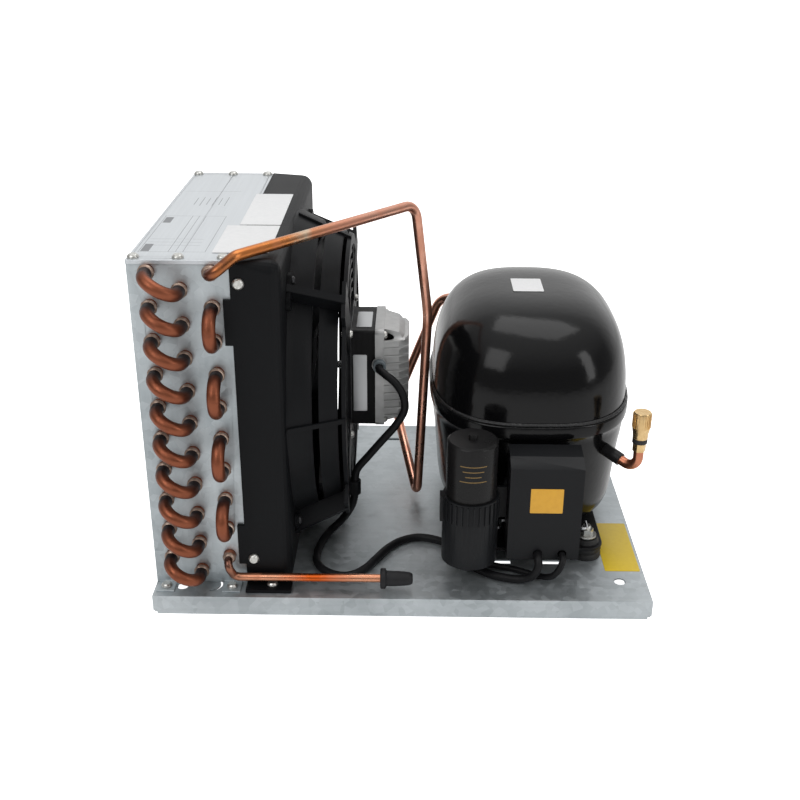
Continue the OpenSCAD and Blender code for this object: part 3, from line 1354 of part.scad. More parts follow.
module capacitor_holder() {
    inner = capacitor_d * half + fit;
    outer = inner + holder_wall;
    mid = inner + holder_wall * half;
    ribs = 13;
    rib = 1.2;
    band_z = holder_h * 0.68;
    arm_t = 3;
    arm_back = 12;
    arm_x1 = cover_x - cover_w * half - gap - cap_x;
    color([0.1, 0.1, 0.1]) translate([cap_x, cap_y, holder_z0]) difference() {
        union() {
            cylinder(r = outer, h = holder_h);
            for (k = [0:ribs - 1]) rotate([0, 0, -158 + 12 * k])
                block([mid, -rib * half, band_z], [outer + rib, rib * half, holder_h - rib]);
            block([0, arm_back, holder_h * half], [arm_x1, arm_back + arm_t, holder_h - rib]);
            block([-outer - 2, -6, band_z - 4], [-mid, 6, holder_h - rib]);
        }
        translate([0, 0, holder_wall]) cylinder(r = inner, h = holder_h);
        translate([0, 0, -cut]) cylinder(r = 6, h = holder_h);
    }
}
lead2_d = 5;
lead2_lie = deck + 2.7;
capacitor_lead_route = concat(
    [lead2_entry],
    [
        for (p = [
            [15, -130, 38], [12, -133, 31], [7, -131, 24], [-1, -125, 20], [-11, -118, lead2_lie],
            [-21, -113, lead2_lie], [-31, -111, 19.5], [-40, -112, 22], [-49, -115, 25.5], [-55, -117.5, 29]
        ]) p + [cover_x, 0, 0]
    ],
    [[cap_x, cap_y, cap_z0 - 4], [cap_x, cap_y, cap_z0 - gap]]
);
module capacitor_lead() {
    color([0.08, 0.08, 0.08]) swept_tube(smooth_route(capacitor_lead_route, 2), lead2_d * half, 8, [1, 0, 0]);
}

// Service valve on a bent stub from the lower shell
hex_af = 9;
hex_h = 7;
neck_r = 3.7;
neck_h = 16;
seal_z = valve_z + hex_h;
seal_h = 4;
core_r = 1.4;
module service_stub() {
    color("peru") swept_tube(bent_route(service_route, [12, 9], 6), pipe_d * half * shrink_share, 12);
}
module service_valve() {
    socket = 1;
    throat_r = core_r + 1;
    color("darkkhaki") translate([valve_x, valve_y, 0]) difference() {
        union() {
            translate([0, 0, valve_z]) cylinder(d = hex_af / cos(30), h = hex_h, $fn = 6);
            translate([0, 0, seal_z]) cylinder(r = neck_r, h = neck_h);
        }
        translate([0, 0, valve_z - cut]) cylinder(d = pipe_d + fit, h = socket + cut);
        translate([0, 0, valve_z]) cylinder(r = throat_r, h = hex_h + neck_h - core_seat);
        translate([0, 0, valve_z]) cylinder(r = core_r + run_fit, h = hex_h + neck_h + cut);
    }
}
core_seat = 5;
core_len = 12;
core_travel = 2;
// Valve core: a pin with a sealing collar that is pushed in against its spring
module valve_core() {
    collar = 1.5;
    top = seal_z + neck_h - cut;
    color("goldenrod") translate([valve_x, valve_y, 0]) {
        translate([0, 0, top - core_len]) cylinder(r = core_r, h = core_len);
        translate([0, 0, seal_z + neck_h - core_seat - collar - fit]) cylinder(r = core_r + 1 - gap, h = collar);
    }
}
cap_base = seal_z + fit + seal_h;
module service_cap_seal() {
    color([0.1, 0.1, 0.1]) translate([valve_x, valve_y, seal_z + fit]) difference() {
        cylinder(r = cap_d * 0.4, h = seal_h - fit);
        translate([0, 0, -cut]) cylinder(r = neck_r + fit, h = seal_h + 2 * cut);
    }
}
module service_cap() {
    // knurled above, with a skirt that tapers down to the seal
    top = cap_base + cap_h;
    knurls = 24;
    knurl = 0.5;
    color("gold") translate([valve_x, valve_y, 0]) difference() {
        union() {
            rotate_extrude() polygon([
                [0, cap_base], [cap_d * 0.4, cap_base], [cap_d * 0.42, cap_base + cap_h * 0.2],
                [cap_d * half - knurl, cap_base + cap_h * 0.35], [cap_d * half - knurl, top - knurl * 2],
                [cap_d * 0.44, top], [0, top]
            ]);
            for (k = [0:knurls - 1]) rotate([0, 0, 360 * k / knurls])
                block([cap_d * 0.3, -knurl * half, cap_base + cap_h * 0.42], [cap_d * half, knurl * half, top - 2 * knurl]);
        }
        translate([0, 0, cap_base - cut]) cylinder(r = neck_r + fit, h = neck_h - seal_h + cut + gap);
    }
}

base_tray();
coil_front_plate();
coil_rear_plate();
coil_top_plate();
coil_screws();
fin_pack();
hairpin_tubes();
return_bends();
braze_rings();
discharge_pipe();
liquid_line();
liquid_line_cap();
fan_shroud();
shroud_screws();
motor_basket();
basket_screws();
fan_wheel();
fan_nut();
motor_shaft();
motor_rotor();
motor_bearings();
motor_bracket();
motor_stack();
motor_windings();
motor_end_cap();
motor_screws();
cable_gland();
fan_cable();
cable_clip();
lower_shell();
upper_shell();
weld_bead();
shell_base();
rubber_grommets();
grommet_sleeves();
compressor_bolts();
compressor_stator();
compressor_windings();
compressor_rotor();
crankshaft();
cylinder_block();
cylinder_head();
piston();
connecting_rod();
suspension_springs();
shock_loop();
suction_stub();
terminal_fence();
terminal_pins();
start_relay();
terminal_cover();
cover_clip();
capacitor();
capacitor_holder();
capacitor_lead();
service_stub();
service_valve();
valve_core();
service_cap_seal();
service_cap();
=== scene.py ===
import math
import random
import bpy
from mathutils import Matrix, Vector, noise


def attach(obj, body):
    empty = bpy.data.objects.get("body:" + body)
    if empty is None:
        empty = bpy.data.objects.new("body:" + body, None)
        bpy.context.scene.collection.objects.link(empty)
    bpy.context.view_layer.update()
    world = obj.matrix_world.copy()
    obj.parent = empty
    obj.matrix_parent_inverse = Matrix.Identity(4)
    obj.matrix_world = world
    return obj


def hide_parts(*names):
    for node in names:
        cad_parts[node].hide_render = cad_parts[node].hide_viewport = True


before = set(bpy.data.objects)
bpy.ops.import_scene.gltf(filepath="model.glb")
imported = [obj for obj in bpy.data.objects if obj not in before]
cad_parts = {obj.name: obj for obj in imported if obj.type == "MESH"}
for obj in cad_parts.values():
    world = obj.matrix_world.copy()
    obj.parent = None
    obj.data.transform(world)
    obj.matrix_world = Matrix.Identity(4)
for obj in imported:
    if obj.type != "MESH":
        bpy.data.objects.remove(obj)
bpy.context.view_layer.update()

# Camera
# A standing view from the front and above, with the unit's long side almost square to it.
camera_at = (0.00431, -0.85261, 0.50177)
focal_length, sensor_width = 49.28, 36
pitch, yaw, roll = (math.radians(a) for a in (24.4518, 0.5667, 0.3682))
level_right = Vector((math.cos(yaw), math.sin(yaw), 0))
ahead = Vector((-math.sin(yaw) * math.cos(pitch), math.cos(yaw) * math.cos(pitch), -math.sin(pitch)))
level_up = level_right.cross(ahead)
camera = bpy.data.objects.new("camera", bpy.data.cameras.new("camera"))
camera_axes = (
    math.cos(roll) * level_right + math.sin(roll) * level_up,
    math.cos(roll) * level_up - math.sin(roll) * level_right,
    -ahead,
)
camera_rows = [[axis[k] for axis in camera_axes] + [camera_at[k]] for k in range(3)]
camera.matrix_world = Matrix(camera_rows + [[0, 0, 0, 1]])
camera.data.lens = focal_length
camera.data.sensor_width = sensor_width
bpy.context.collection.objects.link(camera)
bpy.context.scene.camera = camera


# Studio
# A pale floor, a white surround and three soft panels, as for a catalogue picture.
class Wire:
    """A socket that takes part in sums."""

    def __init__(self, finish, socket):
        self.finish = finish
        self.socket = socket

    def sum(self, operation, first, second):
        return self.finish.node("ShaderNodeMath", {"operation": operation}, {0: first, 1: second})

    def __add__(self, other):
        return self.sum("ADD", self, other)

    def __sub__(self, other):
        return self.sum("SUBTRACT", self, other)

    def __rsub__(self, other):
        return self.sum("SUBTRACT", other, self)

    def __mul__(self, other):
        return self.sum("MULTIPLY", self, other)

    __radd__ = __add__
    __rmul__ = __mul__


class Finish:
    """The nodes of one material, or of the studio's surround."""

    def __init__(self, owner, **sockets):
        owner.use_nodes = True
        self.owner = owner
        self.tree = owner.node_tree
        self.shader = self.tree.nodes.get("Principled BSDF") or self.tree.nodes.get("Background")
        self.paint(**sockets)

    def node(self, kind, settings, sockets, take=0):
        made = self.tree.nodes.new(kind)
        for key, value in settings.items():
            setattr(made, key, value)
        self.feed(made, sockets)
        return Wire(self, made.outputs[take])

    def feed(self, made, sockets):
        for key, value in sockets.items():
            if isinstance(value, Wire):
                self.tree.links.new(value.socket, made.inputs[key])
            else:
                made.inputs[key].default_value = value

    def paint(self, **sockets):
        self.feed(self.shader, {key.replace("_", " "): value for key, value in sockets.items()})

    def place(self, stretch=(1, 1, 1)):
        at = self.node("ShaderNodeTexCoord", {}, {}, "Object")
        return self.node("ShaderNodeVectorMath", {"operation": "MULTIPLY"}, {0: at, 1: stretch})

    def grain(self, scale, detail=3, stretch=(1, 1, 1), warp=0):
        return self.node("ShaderNodeTexNoise", {}, {
            "Vector": self.place(stretch), "Scale": scale, "Detail": detail, "Distortion": warp})

    def span(self, value, low, high, start=0, end=1):
        return self.node("ShaderNodeMapRange", {}, {
            "Value": value, "From Min": low, "From Max": high, "To Min": start, "To Max": end})

    def tint(self, factor, first, second):
        return self.node("ShaderNodeMix", {"data_type": "RGBA"}, {0: factor, 6: first, 7: second}, 2)

    def along(self, axis):
        return self.node("ShaderNodeSeparateXYZ", {}, {0: self.place()}, axis)

    def emboss(self, height, depth):
        self.paint(Normal=self.node("ShaderNodeBump", {}, {
            "Height": height, "Distance": depth, "Strength": 1.0}))


def tone(red, green, blue):
    parts = [v / 255 for v in (red, green, blue)]
    return tuple(v / 12.92 if v < 0.04045 else ((v + 0.055) / 1.055) ** 2.4 for v in parts) + (1.0,)


def material(name, **sockets):
    return Finish(bpy.data.materials.new(name), **sockets)


room_light = 0.5
floor_glow, floor_white = 0.3, 0.78
floor_half, floor_drop = 6, 0.0004
panel_target = Vector((0, 0, 0.12))

world = bpy.data.worlds.new("surround")
bpy.context.scene.world = world
surround = Finish(world, Color=(1, 1, 1, 1))
rays = surround.tree.nodes.new("ShaderNodeLightPath")
seen = Wire(surround, rays.outputs["Is Camera Ray"])
mirrored = Wire(surround, rays.outputs["Is Glossy Ray"]) + Wire(surround, rays.outputs["Is Transmission Ray"])
direction = surround.node("ShaderNodeTexCoord", {}, {}, "Generated")
height = surround.node("ShaderNodeSeparateXYZ", {}, {0: direction}, 2)
depth = surround.node("ShaderNodeSeparateXYZ", {}, {0: direction}, 1)
overhead = surround.span(height, 0.35, 0.95, 0.25, 1.0)
behind = surround.span(depth, 0.1, 0.7, 0.0, 1.0)
room = surround.node("ShaderNodeMath", {"operation": "MAXIMUM"}, {0: overhead, 1: behind})
surround.paint(Strength=seen + mirrored * room + (1 - seen - mirrored) * room_light)
bpy.context.scene.view_settings.view_transform = "Standard"

floor_mesh = bpy.data.meshes.new("floor")
floor_corners = [(x * floor_half, y * floor_half, 0) for x, y in ((-1, -1), (1, -1), (1, 1), (-1, 1))]
floor_mesh.from_pydata(floor_corners, [], [(0, 1, 2, 3)])
floor = bpy.data.objects.new("floor", floor_mesh)
floor.location.z = -floor_drop
bpy.context.collection.objects.link(floor)
pale = material("pale_floor", Base_Color=(0.86, 0.86, 0.86, 1), Roughness=0.9)
floor_rays = pale.tree.nodes.new("ShaderNodeLightPath")
floor_seen = floor_white * Wire(pale, floor_rays.outputs["Is Camera Ray"])
pale.paint(Emission_Color=(1, 1, 1, 1), Emission_Strength=floor_seen + floor_glow)
floor_mesh.materials.append(pale.owner)

for panel_name, at, wide, tall, watts in (
    ("key_panel", (-0.75, -1.05, 1.15), 0.9, 0.9, 6.0),
    ("fill_panel", (1.25, -0.75, 0.75), 0.35, 1.0, 3.6),
    ("top_panel", (0.15, 0.25, 1.5), 1.1, 0.8, 5.6),
):
    light = bpy.data.lights.new(panel_name, "AREA")
    light.shape = "RECTANGLE"
    light.size = wide
    light.size_y = tall
    light.energy = watts
    panel = bpy.data.objects.new(panel_name, light)
    panel.location = at
    panel.rotation_euler = (panel_target - Vector(at)).to_track_quat("-Z", "Y").to_euler()
    bpy.context.collection.objects.link(panel)


# Motor lead and capacitor lead
# Two round rubber-sheathed leads: one from the motor's gland down to its clip, along the tray
# and up into the terminal cover, and one from the cover to the foot of the capacitor.
mm = 0.001
motor_lead_thickness, capacitor_lead_thickness = 0.0064, 0.005
lead_rest = 19.4
lead_steps = 6


def eased(route, steps):
    """A soft curve through a route in millimetres."""
    points = [Vector(p) * mm for p in route]
    line = []
    for i in range(len(points) - 1):
        a, b, c, d = (points[min(max(i + k, 0), len(points) - 1)] for k in (-1, 0, 1, 2))
        for k in range(steps):
            f = k / steps
            line.append(0.5 * (2 * b + (c - a) * f + (2 * a - 5 * b + 4 * c - d) * f ** 2
                               + (3 * b - a - 3 * c + d) * f ** 3))
    return line + [points[-1]]


def wire_curve(name, line, thickness, body, finish):
    curve = bpy.data.curves.new(name, "CURVE")
    curve.dimensions = "3D"
    curve.bevel_depth = thickness / 2
    curve.bevel_resolution = 5
    curve.use_fill_caps = True
    spline = curve.splines.new("POLY")
    spline.points.add(len(line) - 1)
    for point, at in zip(spline.points, line):
        point.co = (*at, 1)
    spline.use_smooth = True
    curve.materials.append(finish.owner)
    made = bpy.data.objects.new(name, curve)
    bpy.context.collection.objects.link(made)
    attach(made, body)
    return made


def run_length(line):
    return sum((b - a).length for a, b in zip(line, line[1:]))


rubber = material("black_lead_rubber", Roughness=0.5, Specular_IOR_Level=0.2)
rubber_marks = rubber.grain(900, 4)
rubber.paint(Base_Color=rubber.tint(rubber.grain(60), tone(12, 12, 14), tone(22, 22, 24)),
             Roughness=rubber.span(rubber_marks, 0.3, 0.7, 0.42, 0.6))
rubber.emboss(rubber_marks, 0.00008)

motor_lead_line = eased([
    (-20.6, -38.5, 160), (-20, -44, 160), (-15, -49, 158), (-7, -52, 152), (-1, -54, 142), (0, -55, 130),
    (-7, -56, 117), (-18, -58, 104), (-29, -60, 91), (-38, -62, 80), (-40, -64, 70), (-40, -64, 60),
    (-42, -61, 48), (-46, -56, 37), (-51, -52, 27.5), (-56.5, -52.5, 21.3)] + [
    (x, y, lead_rest) for x, y in (
        (-61.5, -59), (-65, -69), (-68, -81), (-69.5, -93), (-69, -106), (-63, -118), (-51, -126),
        (-40, -125), (-30, -116), (-22, -102), (-13, -86), (-2, -74), (12, -68), (26, -71), (37, -79),
        (44, -91), (51, -104), (60, -115), (71, -123), (84, -127.5))] + [
    (95, -131, 21.5), (102, -133.5, 27), (105, -133, 34), (105, -129.5, 39), (105, -124, 40)], lead_steps)
motor_lead = wire_curve("motor_lead", motor_lead_line, motor_lead_thickness, "unit", rubber)
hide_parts("fan_cable")
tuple(motor_lead_line[0])
run_length(motor_lead_line)

capacitor_lead_line = eased([
    (124, -124, 40), (124, -130, 38), (121, -133, 31), (116, -131, 24), (108, -125, 20), (98, -118, 18.7),
    (88, -113, 18.7), (78, -111, 19.5), (69, -112, 22), (60, -115, 25.5), (54, -117.5, 29),
    (51.9, -118, 32.5), (51.9, -118, 36.2)], lead_steps)
capacitor_lead = wire_curve("capacitor_lead_run", capacitor_lead_line, capacitor_lead_thickness, "unit", rubber)
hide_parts("capacitor_lead")
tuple(capacitor_lead_line[0])
run_length(capacitor_lead_line)


# Base tray
# One sheet of galvanised steel with its skirt folded down on all four sides. The zinc shows
# faint spangles, fine rolling lines and a few dull patches where it was handled.
def zinc(name, light, dark, line_stretch):
    finish = material(name, Metallic=0.72, Roughness=0.4)
    cells = finish.node("ShaderNodeTexVoronoi", {}, {
        "Vector": finish.place(), "Scale": 170, "Randomness": 1.0}, "Color")
    cell = finish.node("ShaderNodeSeparateColor", {}, {0: cells}, 0)
    patches = finish.grain(14, 6, warp=0.6)
    lines = finish.grain(260, 2, line_stretch)
    shade = 0.28 * cell + 0.5 * finish.span(patches, 0.3, 0.7) + 0.22 * lines
    finish.paint(Base_Color=finish.tint(shade, dark, light),
                 Roughness=finish.span(cell + patches, 0.4, 1.5, 0.34, 0.5))
    finish.emboss(0.4 * cell + 0.3 * lines + 0.3 * finish.grain(1400), 0.00006)
    return finish


def dress(finish, *nodes, edge):
    """Gives CAD nodes a finish and, where edge isn't zero, softened edges of that width."""
    for name in nodes:
        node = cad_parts[name]
        node.data.materials.clear()
        node.data.materials.append(finish.owner)
        if edge:
            weld = node.modifiers.new("weld", "WELD")
            weld.merge_threshold = 0.00001
            bevel = node.modifiers.new("edge", "BEVEL")
            bevel.width = edge
            bevel.segments = 2
            bevel.limit_method = "ANGLE"
            bevel.angle_limit = math.radians(40)
            bevel.harden_normals = True


tray_zinc = zinc("tray_zinc", tone(206, 212, 215), tone(140, 147, 150), (0.05, 1, 1))
dress(tray_zinc, "base_tray", edge=0.0005)

# Coil
# Galvanised end plates and a satin top sheet round a block of thin aluminium fins. Copper
# hairpins run through the fins and return bends are brazed over their ends at the front.
plate_zinc = zinc("coil_plate_zinc", tone(214, 221, 224), tone(140, 148, 152), (1, 1, 0.08))
dress(plate_zinc, "coil_front_plate", "coil_rear_plate", edge=0.0003)

satin = material("coil_top_sheet", Metallic=0.6, Roughness=0.36)
satin_lines = satin.grain(420, 2, (1, 0.03, 1))
satin_x = satin.along(0)
satin_y = satin.along(1)


def printed(finish, across, along, fields):
    """A mask of plain ruled lines and blank fields: middle and half size, both ways."""
    total = None
    for x, y, half_x, half_y in fields:
        one = finish.node("ShaderNodeMath", {"operation": "COMPARE"}, {0: across, 1: x, 2: half_x})
        two = finish.node("ShaderNodeMath", {"operation": "COMPARE"}, {0: along, 1: y, 2: half_y})
        total = one * two if total is None else total + one * two
    return finish.span(total, 0, 1)


line_half = 0.00018
ruled = [(-0.187 + 0.0052 * k, -0.066, line_half, 0.048) for k in (0, 4, 5, 6, 9)]
ruled += [(-0.164, y, 0.024, line_half) for y in (-0.114, -0.018, 0.062)]
ruled += [(-0.166, y, 0.0195, 0.00016) for y in (-0.098, -0.09, -0.082)]
ruled += [(-0.183, -0.104, 0.003, 0.009), (-0.183, -0.03, 0.003, 0.008)]
ruled += [(-0.172 + 0.005 * k, 0.028, 0.00025, 0.011 + 0.003 * (k % 2)) for k in range(6)]
print_mask = printed(satin, satin_x, satin_y, ruled)
satin.paint(Base_Color=satin.tint(print_mask * 0.75, satin.tint(
    satin_lines, tone(196, 201, 205), tone(217, 221, 224)), tone(70, 72, 76)),
    Roughness=satin.span(satin_lines, 0.2, 0.8, 0.3, 0.42))
satin.emboss(satin_lines, 0.00004)
dress(satin, "coil_top_plate", edge=0.0004)


def mottled(name, grain, first, second, bump, rough=None, **sockets):
    """A finish whose colour, gloss where rough is given and bump all follow one grain."""
    finish = material(name, **sockets)
    skin = finish.grain(*grain)
    finish.paint(Base_Color=finish.tint(skin, tone(*first), tone(*second)))
    if rough:
        finish.paint(Roughness=finish.span(skin, 0.3, 0.7, *rough))
    finish.emboss(skin, bump)
    return finish


screw_steel = mottled("zinc_screw", (700, 4), (225, 226, 224), (168, 166, 158), 0.00005, (0.22, 0.42),
                      Metallic=0.9, Roughness=0.3)
dress(screw_steel, "coil_screws", "shroud_screws", "motor_screws", edge=0.00025)


def shape(name, points, faces, body, finish, sharp=40):
    mesh = bpy.data.meshes.new(name)
    mesh.from_pydata([tuple(p) for p in points], [], faces)
    mesh.update()
    mesh.shade_smooth()
    mesh.set_sharp_from_angle(angle=math.radians(sharp))
    made = bpy.data.objects.new(name, mesh)
    bpy.context.collection.objects.link(made)
    mesh.materials.append(finish.owner)
    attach(made, body)
    return made


aluminium = material("fin_sheet", Metallic=0.85, Roughness=0.38)
fin_dirt = aluminium.grain(45, 5, (1, 0.2, 1))
aluminium.paint(Base_Color=aluminium.tint(fin_dirt, tone(196, 199, 201), tone(118, 120, 121)),
                Roughness=aluminium.span(fin_dirt, 0.3, 0.7, 0.3, 0.55))
aluminium.emboss(aluminium.grain(900, 2), 0.00005)
fin_count, fin_pitch, fin_thickness = 127, 0.0019, 0.00016
fin_left, fin_depth, fin_front = -0.1903, 0.0687, -0.1207
fin_ends = (0.0178, 0.2752)
fin_wave, fin_columns = 0.00042, 25
fin_points, fin_faces = [], []
for sheet in range(fin_count):
    y = fin_front + fin_pitch * sheet
    base = len(fin_points)
    for k in range(fin_columns):
        x = fin_left + fin_depth * k / (fin_columns - 1)
        wave = fin_wave * math.sin(math.pi * k / 2 + math.pi / 4)
        for z in fin_ends:
            fin_points.append((x, y + wave, z))
    for k in range(fin_columns - 1):
        a = base + 2 * k
        fin_faces.append((a, a + 2, a + 3, a + 1))
fins = shape("wavy_fins", fin_points, fin_faces, "unit", aluminium)
fins.modifiers.new("sheet", "SOLIDIFY").thickness = fin_thickness
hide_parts("fin_pack")

hairpin_copper = material("hairpin_copper", Metallic=0.95, Roughness=0.36)
hairpin_stain = hairpin_copper.grain(90, 5)
hairpin_copper.paint(Base_Color=hairpin_copper.tint(hairpin_stain, tone(196, 118, 84), tone(112, 66, 52)),
                     Roughness=hairpin_copper.span(hairpin_stain, 0.3, 0.7, 0.28, 0.5))
hairpin_copper.emboss(hairpin_copper.grain(500), 0.00005)
dress(hairpin_copper, "hairpin_tubes", edge=0)

bend_copper = material("return_bend_copper", Metallic=0.85, Roughness=0.4)
# Towards each bend's outer middle the dark oxidised copper turns orange: partly heat tint, partly a painted
# highlight where the curve faces the lamps.
bend_out = bend_copper.span(bend_copper.along(1), -0.1385, -0.156)
bend_stain = bend_copper.grain(120, 6, warp=0.8)
bend_heat_and_highlight = bend_copper.span(bend_out + 0.9 * bend_stain, 0.75, 1.5)
bend_highlight_and_heat_colour = bend_copper.tint(bend_stain, tone(168, 96, 64), tone(104, 62, 48))
bend_copper.paint(Base_Color=bend_copper.tint(bend_heat_and_highlight, bend_copper.tint(
    bend_stain, tone(52, 34, 34), tone(30, 24, 27)), bend_highlight_and_heat_colour),
    Roughness=bend_copper.span(bend_stain, 0.3, 0.7, 0.3, 0.55))
bend_copper.emboss(bend_copper.grain(600, 4), 0.00008)
dress(bend_copper, "return_bends", edge=0)


def frames_along(line):
    normal = Vector((0, 0, 1))
    for i, at in enumerate(line):
        ahead_way = line[min(i + 1, len(line) - 1)] - line[max(i - 1, 0)]
        ahead_way.normalize()
        normal = (normal - normal.dot(ahead_way) * ahead_way).normalized()
        yield at, normal, ahead_way.cross(normal)


def tube(name, line, radius, body, finish, sides=24):
    points, faces = [], []
    last = len(line) - 1
    for at, one, two in frames_along(line):
        for k in range(sides):
            turn = 2 * math.pi * k / sides
            points.append(at + radius * (math.cos(turn) * one + math.sin(turn) * two))
    for i in range(last):
        for k in range(sides):
            a, b = i * sides + k, i * sides + (k + 1) % sides
            faces.append((a, b, b + sides, a + sides))
    faces.append(tuple(range(sides))[::-1])
    faces.append(tuple(last * sides + k for k in range(sides)))
    return shape(name, points, faces, body, finish)


def turned(name, places, profile, axis, body, finish, steps, rough=0.0):
    """Pieces of revolution: the profile is (radius, way along the axis), at each place."""
    points, faces = [], []
    one, two = {"X": ((0, 1, 0), (0, 0, 1)), "Y": ((0, 0, 1), (1, 0, 0))}[axis]
    one, two = Vector(one), Vector(two)
    way = one.cross(two)
    count = len(profile)
    for place in places:
        base = len(points)
        centre = Vector(place)
        for r, t in profile:
            for k in range(steps):
                turn = 2 * math.pi * k / steps
                out = math.cos(turn) * one + math.sin(turn) * two
                at = centre + r * out + t * way
                lump = rough * noise.noise(at * 700) if rough else 0
                points.append(at + lump * (out + way))
        for i in range(count - 1):
            for k in range(steps):
                a, b = base + i * steps + k, base + i * steps + (k + 1) % steps
                faces.append((a, b, b + steps, a + steps))
        if profile[0][0]:
            faces.append(tuple(base + k for k in range(steps))[::-1])
        if profile[-1][0]:
            faces.append(tuple(base + (count - 1) * steps + k for k in range(steps)))
    return shape(name, points, faces, body, finish)


def cornered(route, radii, steps):
    """A straight-sided route in millimetres with each inner corner turned on its own radius."""
    points = [Vector(p) * mm for p in route]
    line = [points[0]]
    for before, at, after, r in zip(points, points[1:], points[2:], radii):
        u, v = (before - at).normalized(), (after - at).normalized()
        spread = u.angle(v)
        r *= mm
        reach = r / math.tan(spread / 2)
        start, finish = at + u * reach, at + v * reach
        middle = at + (u + v).normalized() * (r / math.sin(spread / 2))
        sweep = math.pi - spread
        for k in range(steps + 1):
            turn = sweep * k / steps
            line.append(middle + (start - middle) * (math.sin(sweep - turn) / math.sin(sweep))
                        + (finish - middle) * (math.sin(turn) / math.sin(sweep)))
    return line + [points[-1]]


rows_x = (-0.1775, -0.1555, -0.1335)
rows = 10
first_z, row_pitch = 0.270, 0.0254
plate_face, pipe_seat, liquid_root_z = -0.1375, -0.1378, 0.0414
bend_ends = []
for i in range(rows):
    bend_ends.append((rows_x[0], first_z - row_pitch * i))
    bend_ends.append((rows_x[1], first_z - row_pitch * (i + 0.5)))
for i in range(1, rows - 1):
    bend_ends.append((rows_x[2], first_z - row_pitch * i))
fillet = [(0.00478, 0.0016), (0.0056, 0.0013), (0.00595, 0.0005), (0.00575, -0.0003), (0.0052, -0.001),
          (0.00478, -0.0014)]
braze = mottled("braze_alloy", (300, 5), (196, 176, 160), (120, 92, 80), 0.0001, (0.28, 0.55),
                Metallic=0.75, Roughness=0.42)
collars = turned("braze_fillets", [(x, plate_face, z) for x, z in bend_ends], fillet, "Y", "unit", braze,
                 steps=20, rough=0.0003)
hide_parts("braze_rings")
pipe_fillet = [(0.0041, 0.0018), (0.0051, 0.0014), (0.0058, 0.0006), (0.0054, -0.0006), (0.0046, -0.0016),
               (0.0041, -0.002)]
line_fillet = [(r - 0.0008, t) for r, t in pipe_fillet]
pipe_collar = turned("discharge_braze", [(rows_x[2], pipe_seat, first_z)], pipe_fillet, "Y", "unit", braze,
                     steps=24, rough=0.0004)
line_collar = turned("liquid_braze", [(rows_x[2], pipe_seat, liquid_root_z)], line_fillet, "Y", "unit", braze,
                     steps=24, rough=0.0004)

# Discharge pipe
# Drawn copper, bent by hand over the shroud, down in a long springy loop and up to the
# compressor. The end by the coil is darkened by the brazing torch, with a joint in the run.
gas_pipe, liquid_pipe = 0.004, 0.003175
corner_steps = 12
discharge_copper = material("discharge_copper", Metallic=0.95, Roughness=0.3)
pipe_x = discharge_copper.along(0)
pipe_stain = discharge_copper.grain(70, 6, warp=0.7)
scorch = discharge_copper.span(pipe_x + 0.05 * pipe_stain, -0.11, -0.085)
gold = discharge_copper.span(pipe_x + 0.06 * pipe_stain, -0.065, 0.0)
joint = discharge_copper.span(discharge_copper.node("ShaderNodeMath", {"operation": "ABSOLUTE"}, {
    0: pipe_x + 0.0745}), 0.0035, 0.008, 1, 0) * discharge_copper.span(pipe_stain, 0.3, 0.55)
clean_stain = discharge_copper.span(pipe_stain, 0.3, 0.7)
clean = discharge_copper.tint(clean_stain, tone(226, 172, 150), tone(204, 142, 118))
golden = discharge_copper.tint(pipe_stain, tone(214, 138, 74), tone(168, 96, 54))
tinted = discharge_copper.tint(scorch, discharge_copper.tint(pipe_stain, tone(96, 62, 54), tone(140, 84, 60)),
                               discharge_copper.tint(gold, golden, clean))
discharge_copper.paint(Base_Color=discharge_copper.tint(joint * 0.8, tinted, tone(196, 190, 168)),
                       Roughness=discharge_copper.span(pipe_stain, 0.3, 0.7, 0.22, 0.42))
discharge_copper.emboss(discharge_copper.grain(260, 5), 0.00006)
discharge_line = cornered([
    (-133.5, -137.5, 270), (-133.5, -152, 270), (-115, -140, 283.3), (7, 1, 284.3), (18.5, 4, 190),
    (11.5, -1, 23), (-10, 98, 66), (32, 117, 168), (70, 94, 170)], [7, 12, 13, 120, 6.5, 18, 16], corner_steps)
discharge = tube("discharge_run", discharge_line, gas_pipe, "unit", discharge_copper)
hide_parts("discharge_pipe")

# Liquid line
# A thinner copper stub along the front of the tray, blued by heat near its brazed elbow and
# closed for transport with a soft rubber cap.
liquid_copper = material("liquid_copper", Metallic=0.95, Roughness=0.28)
line_x = liquid_copper.along(0)
line_stain = liquid_copper.grain(80, 6, warp=0.6)
burnt = liquid_copper.span(line_x + 0.02 * line_stain, -0.125, -0.108)
heat = liquid_copper.span(liquid_copper.node("ShaderNodeMath", {"operation": "ABSOLUTE"}, {
    0: line_x + 0.058 + 0.02 * line_stain}), 0.004, 0.03, 1, 0)
plain = liquid_copper.tint(line_stain, tone(224, 164, 132), tone(190, 120, 88))
liquid_copper.paint(Base_Color=liquid_copper.tint(burnt, liquid_copper.tint(
    line_stain, tone(84, 62, 58), tone(128, 88, 74)), liquid_copper.tint(heat, plain, tone(206, 92, 34))),
    Roughness=liquid_copper.span(line_stain, 0.3, 0.7, 0.2, 0.38))
liquid_copper.emboss(liquid_copper.grain(240, 5), 0.00005)
liquid_y, liquid_z = -0.141, 0.027
liquid_bend_end, liquid_step, liquid_steps = -0.118, 0.0039, 30
liquid_points = cornered([(-133.5, -137.5, 41.4), (-133.5, -147.5, 41.4), (-129.5, -141, 27), (-118, -141, 27)],
                         [4.5, 6], 10)
for k in range(1, liquid_steps + 1):
    liquid_points.append(Vector((liquid_bend_end + liquid_step * k, liquid_y, liquid_z)))
liquid = tube("liquid_run", liquid_points, liquid_pipe, "unit", liquid_copper)
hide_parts("liquid_line")

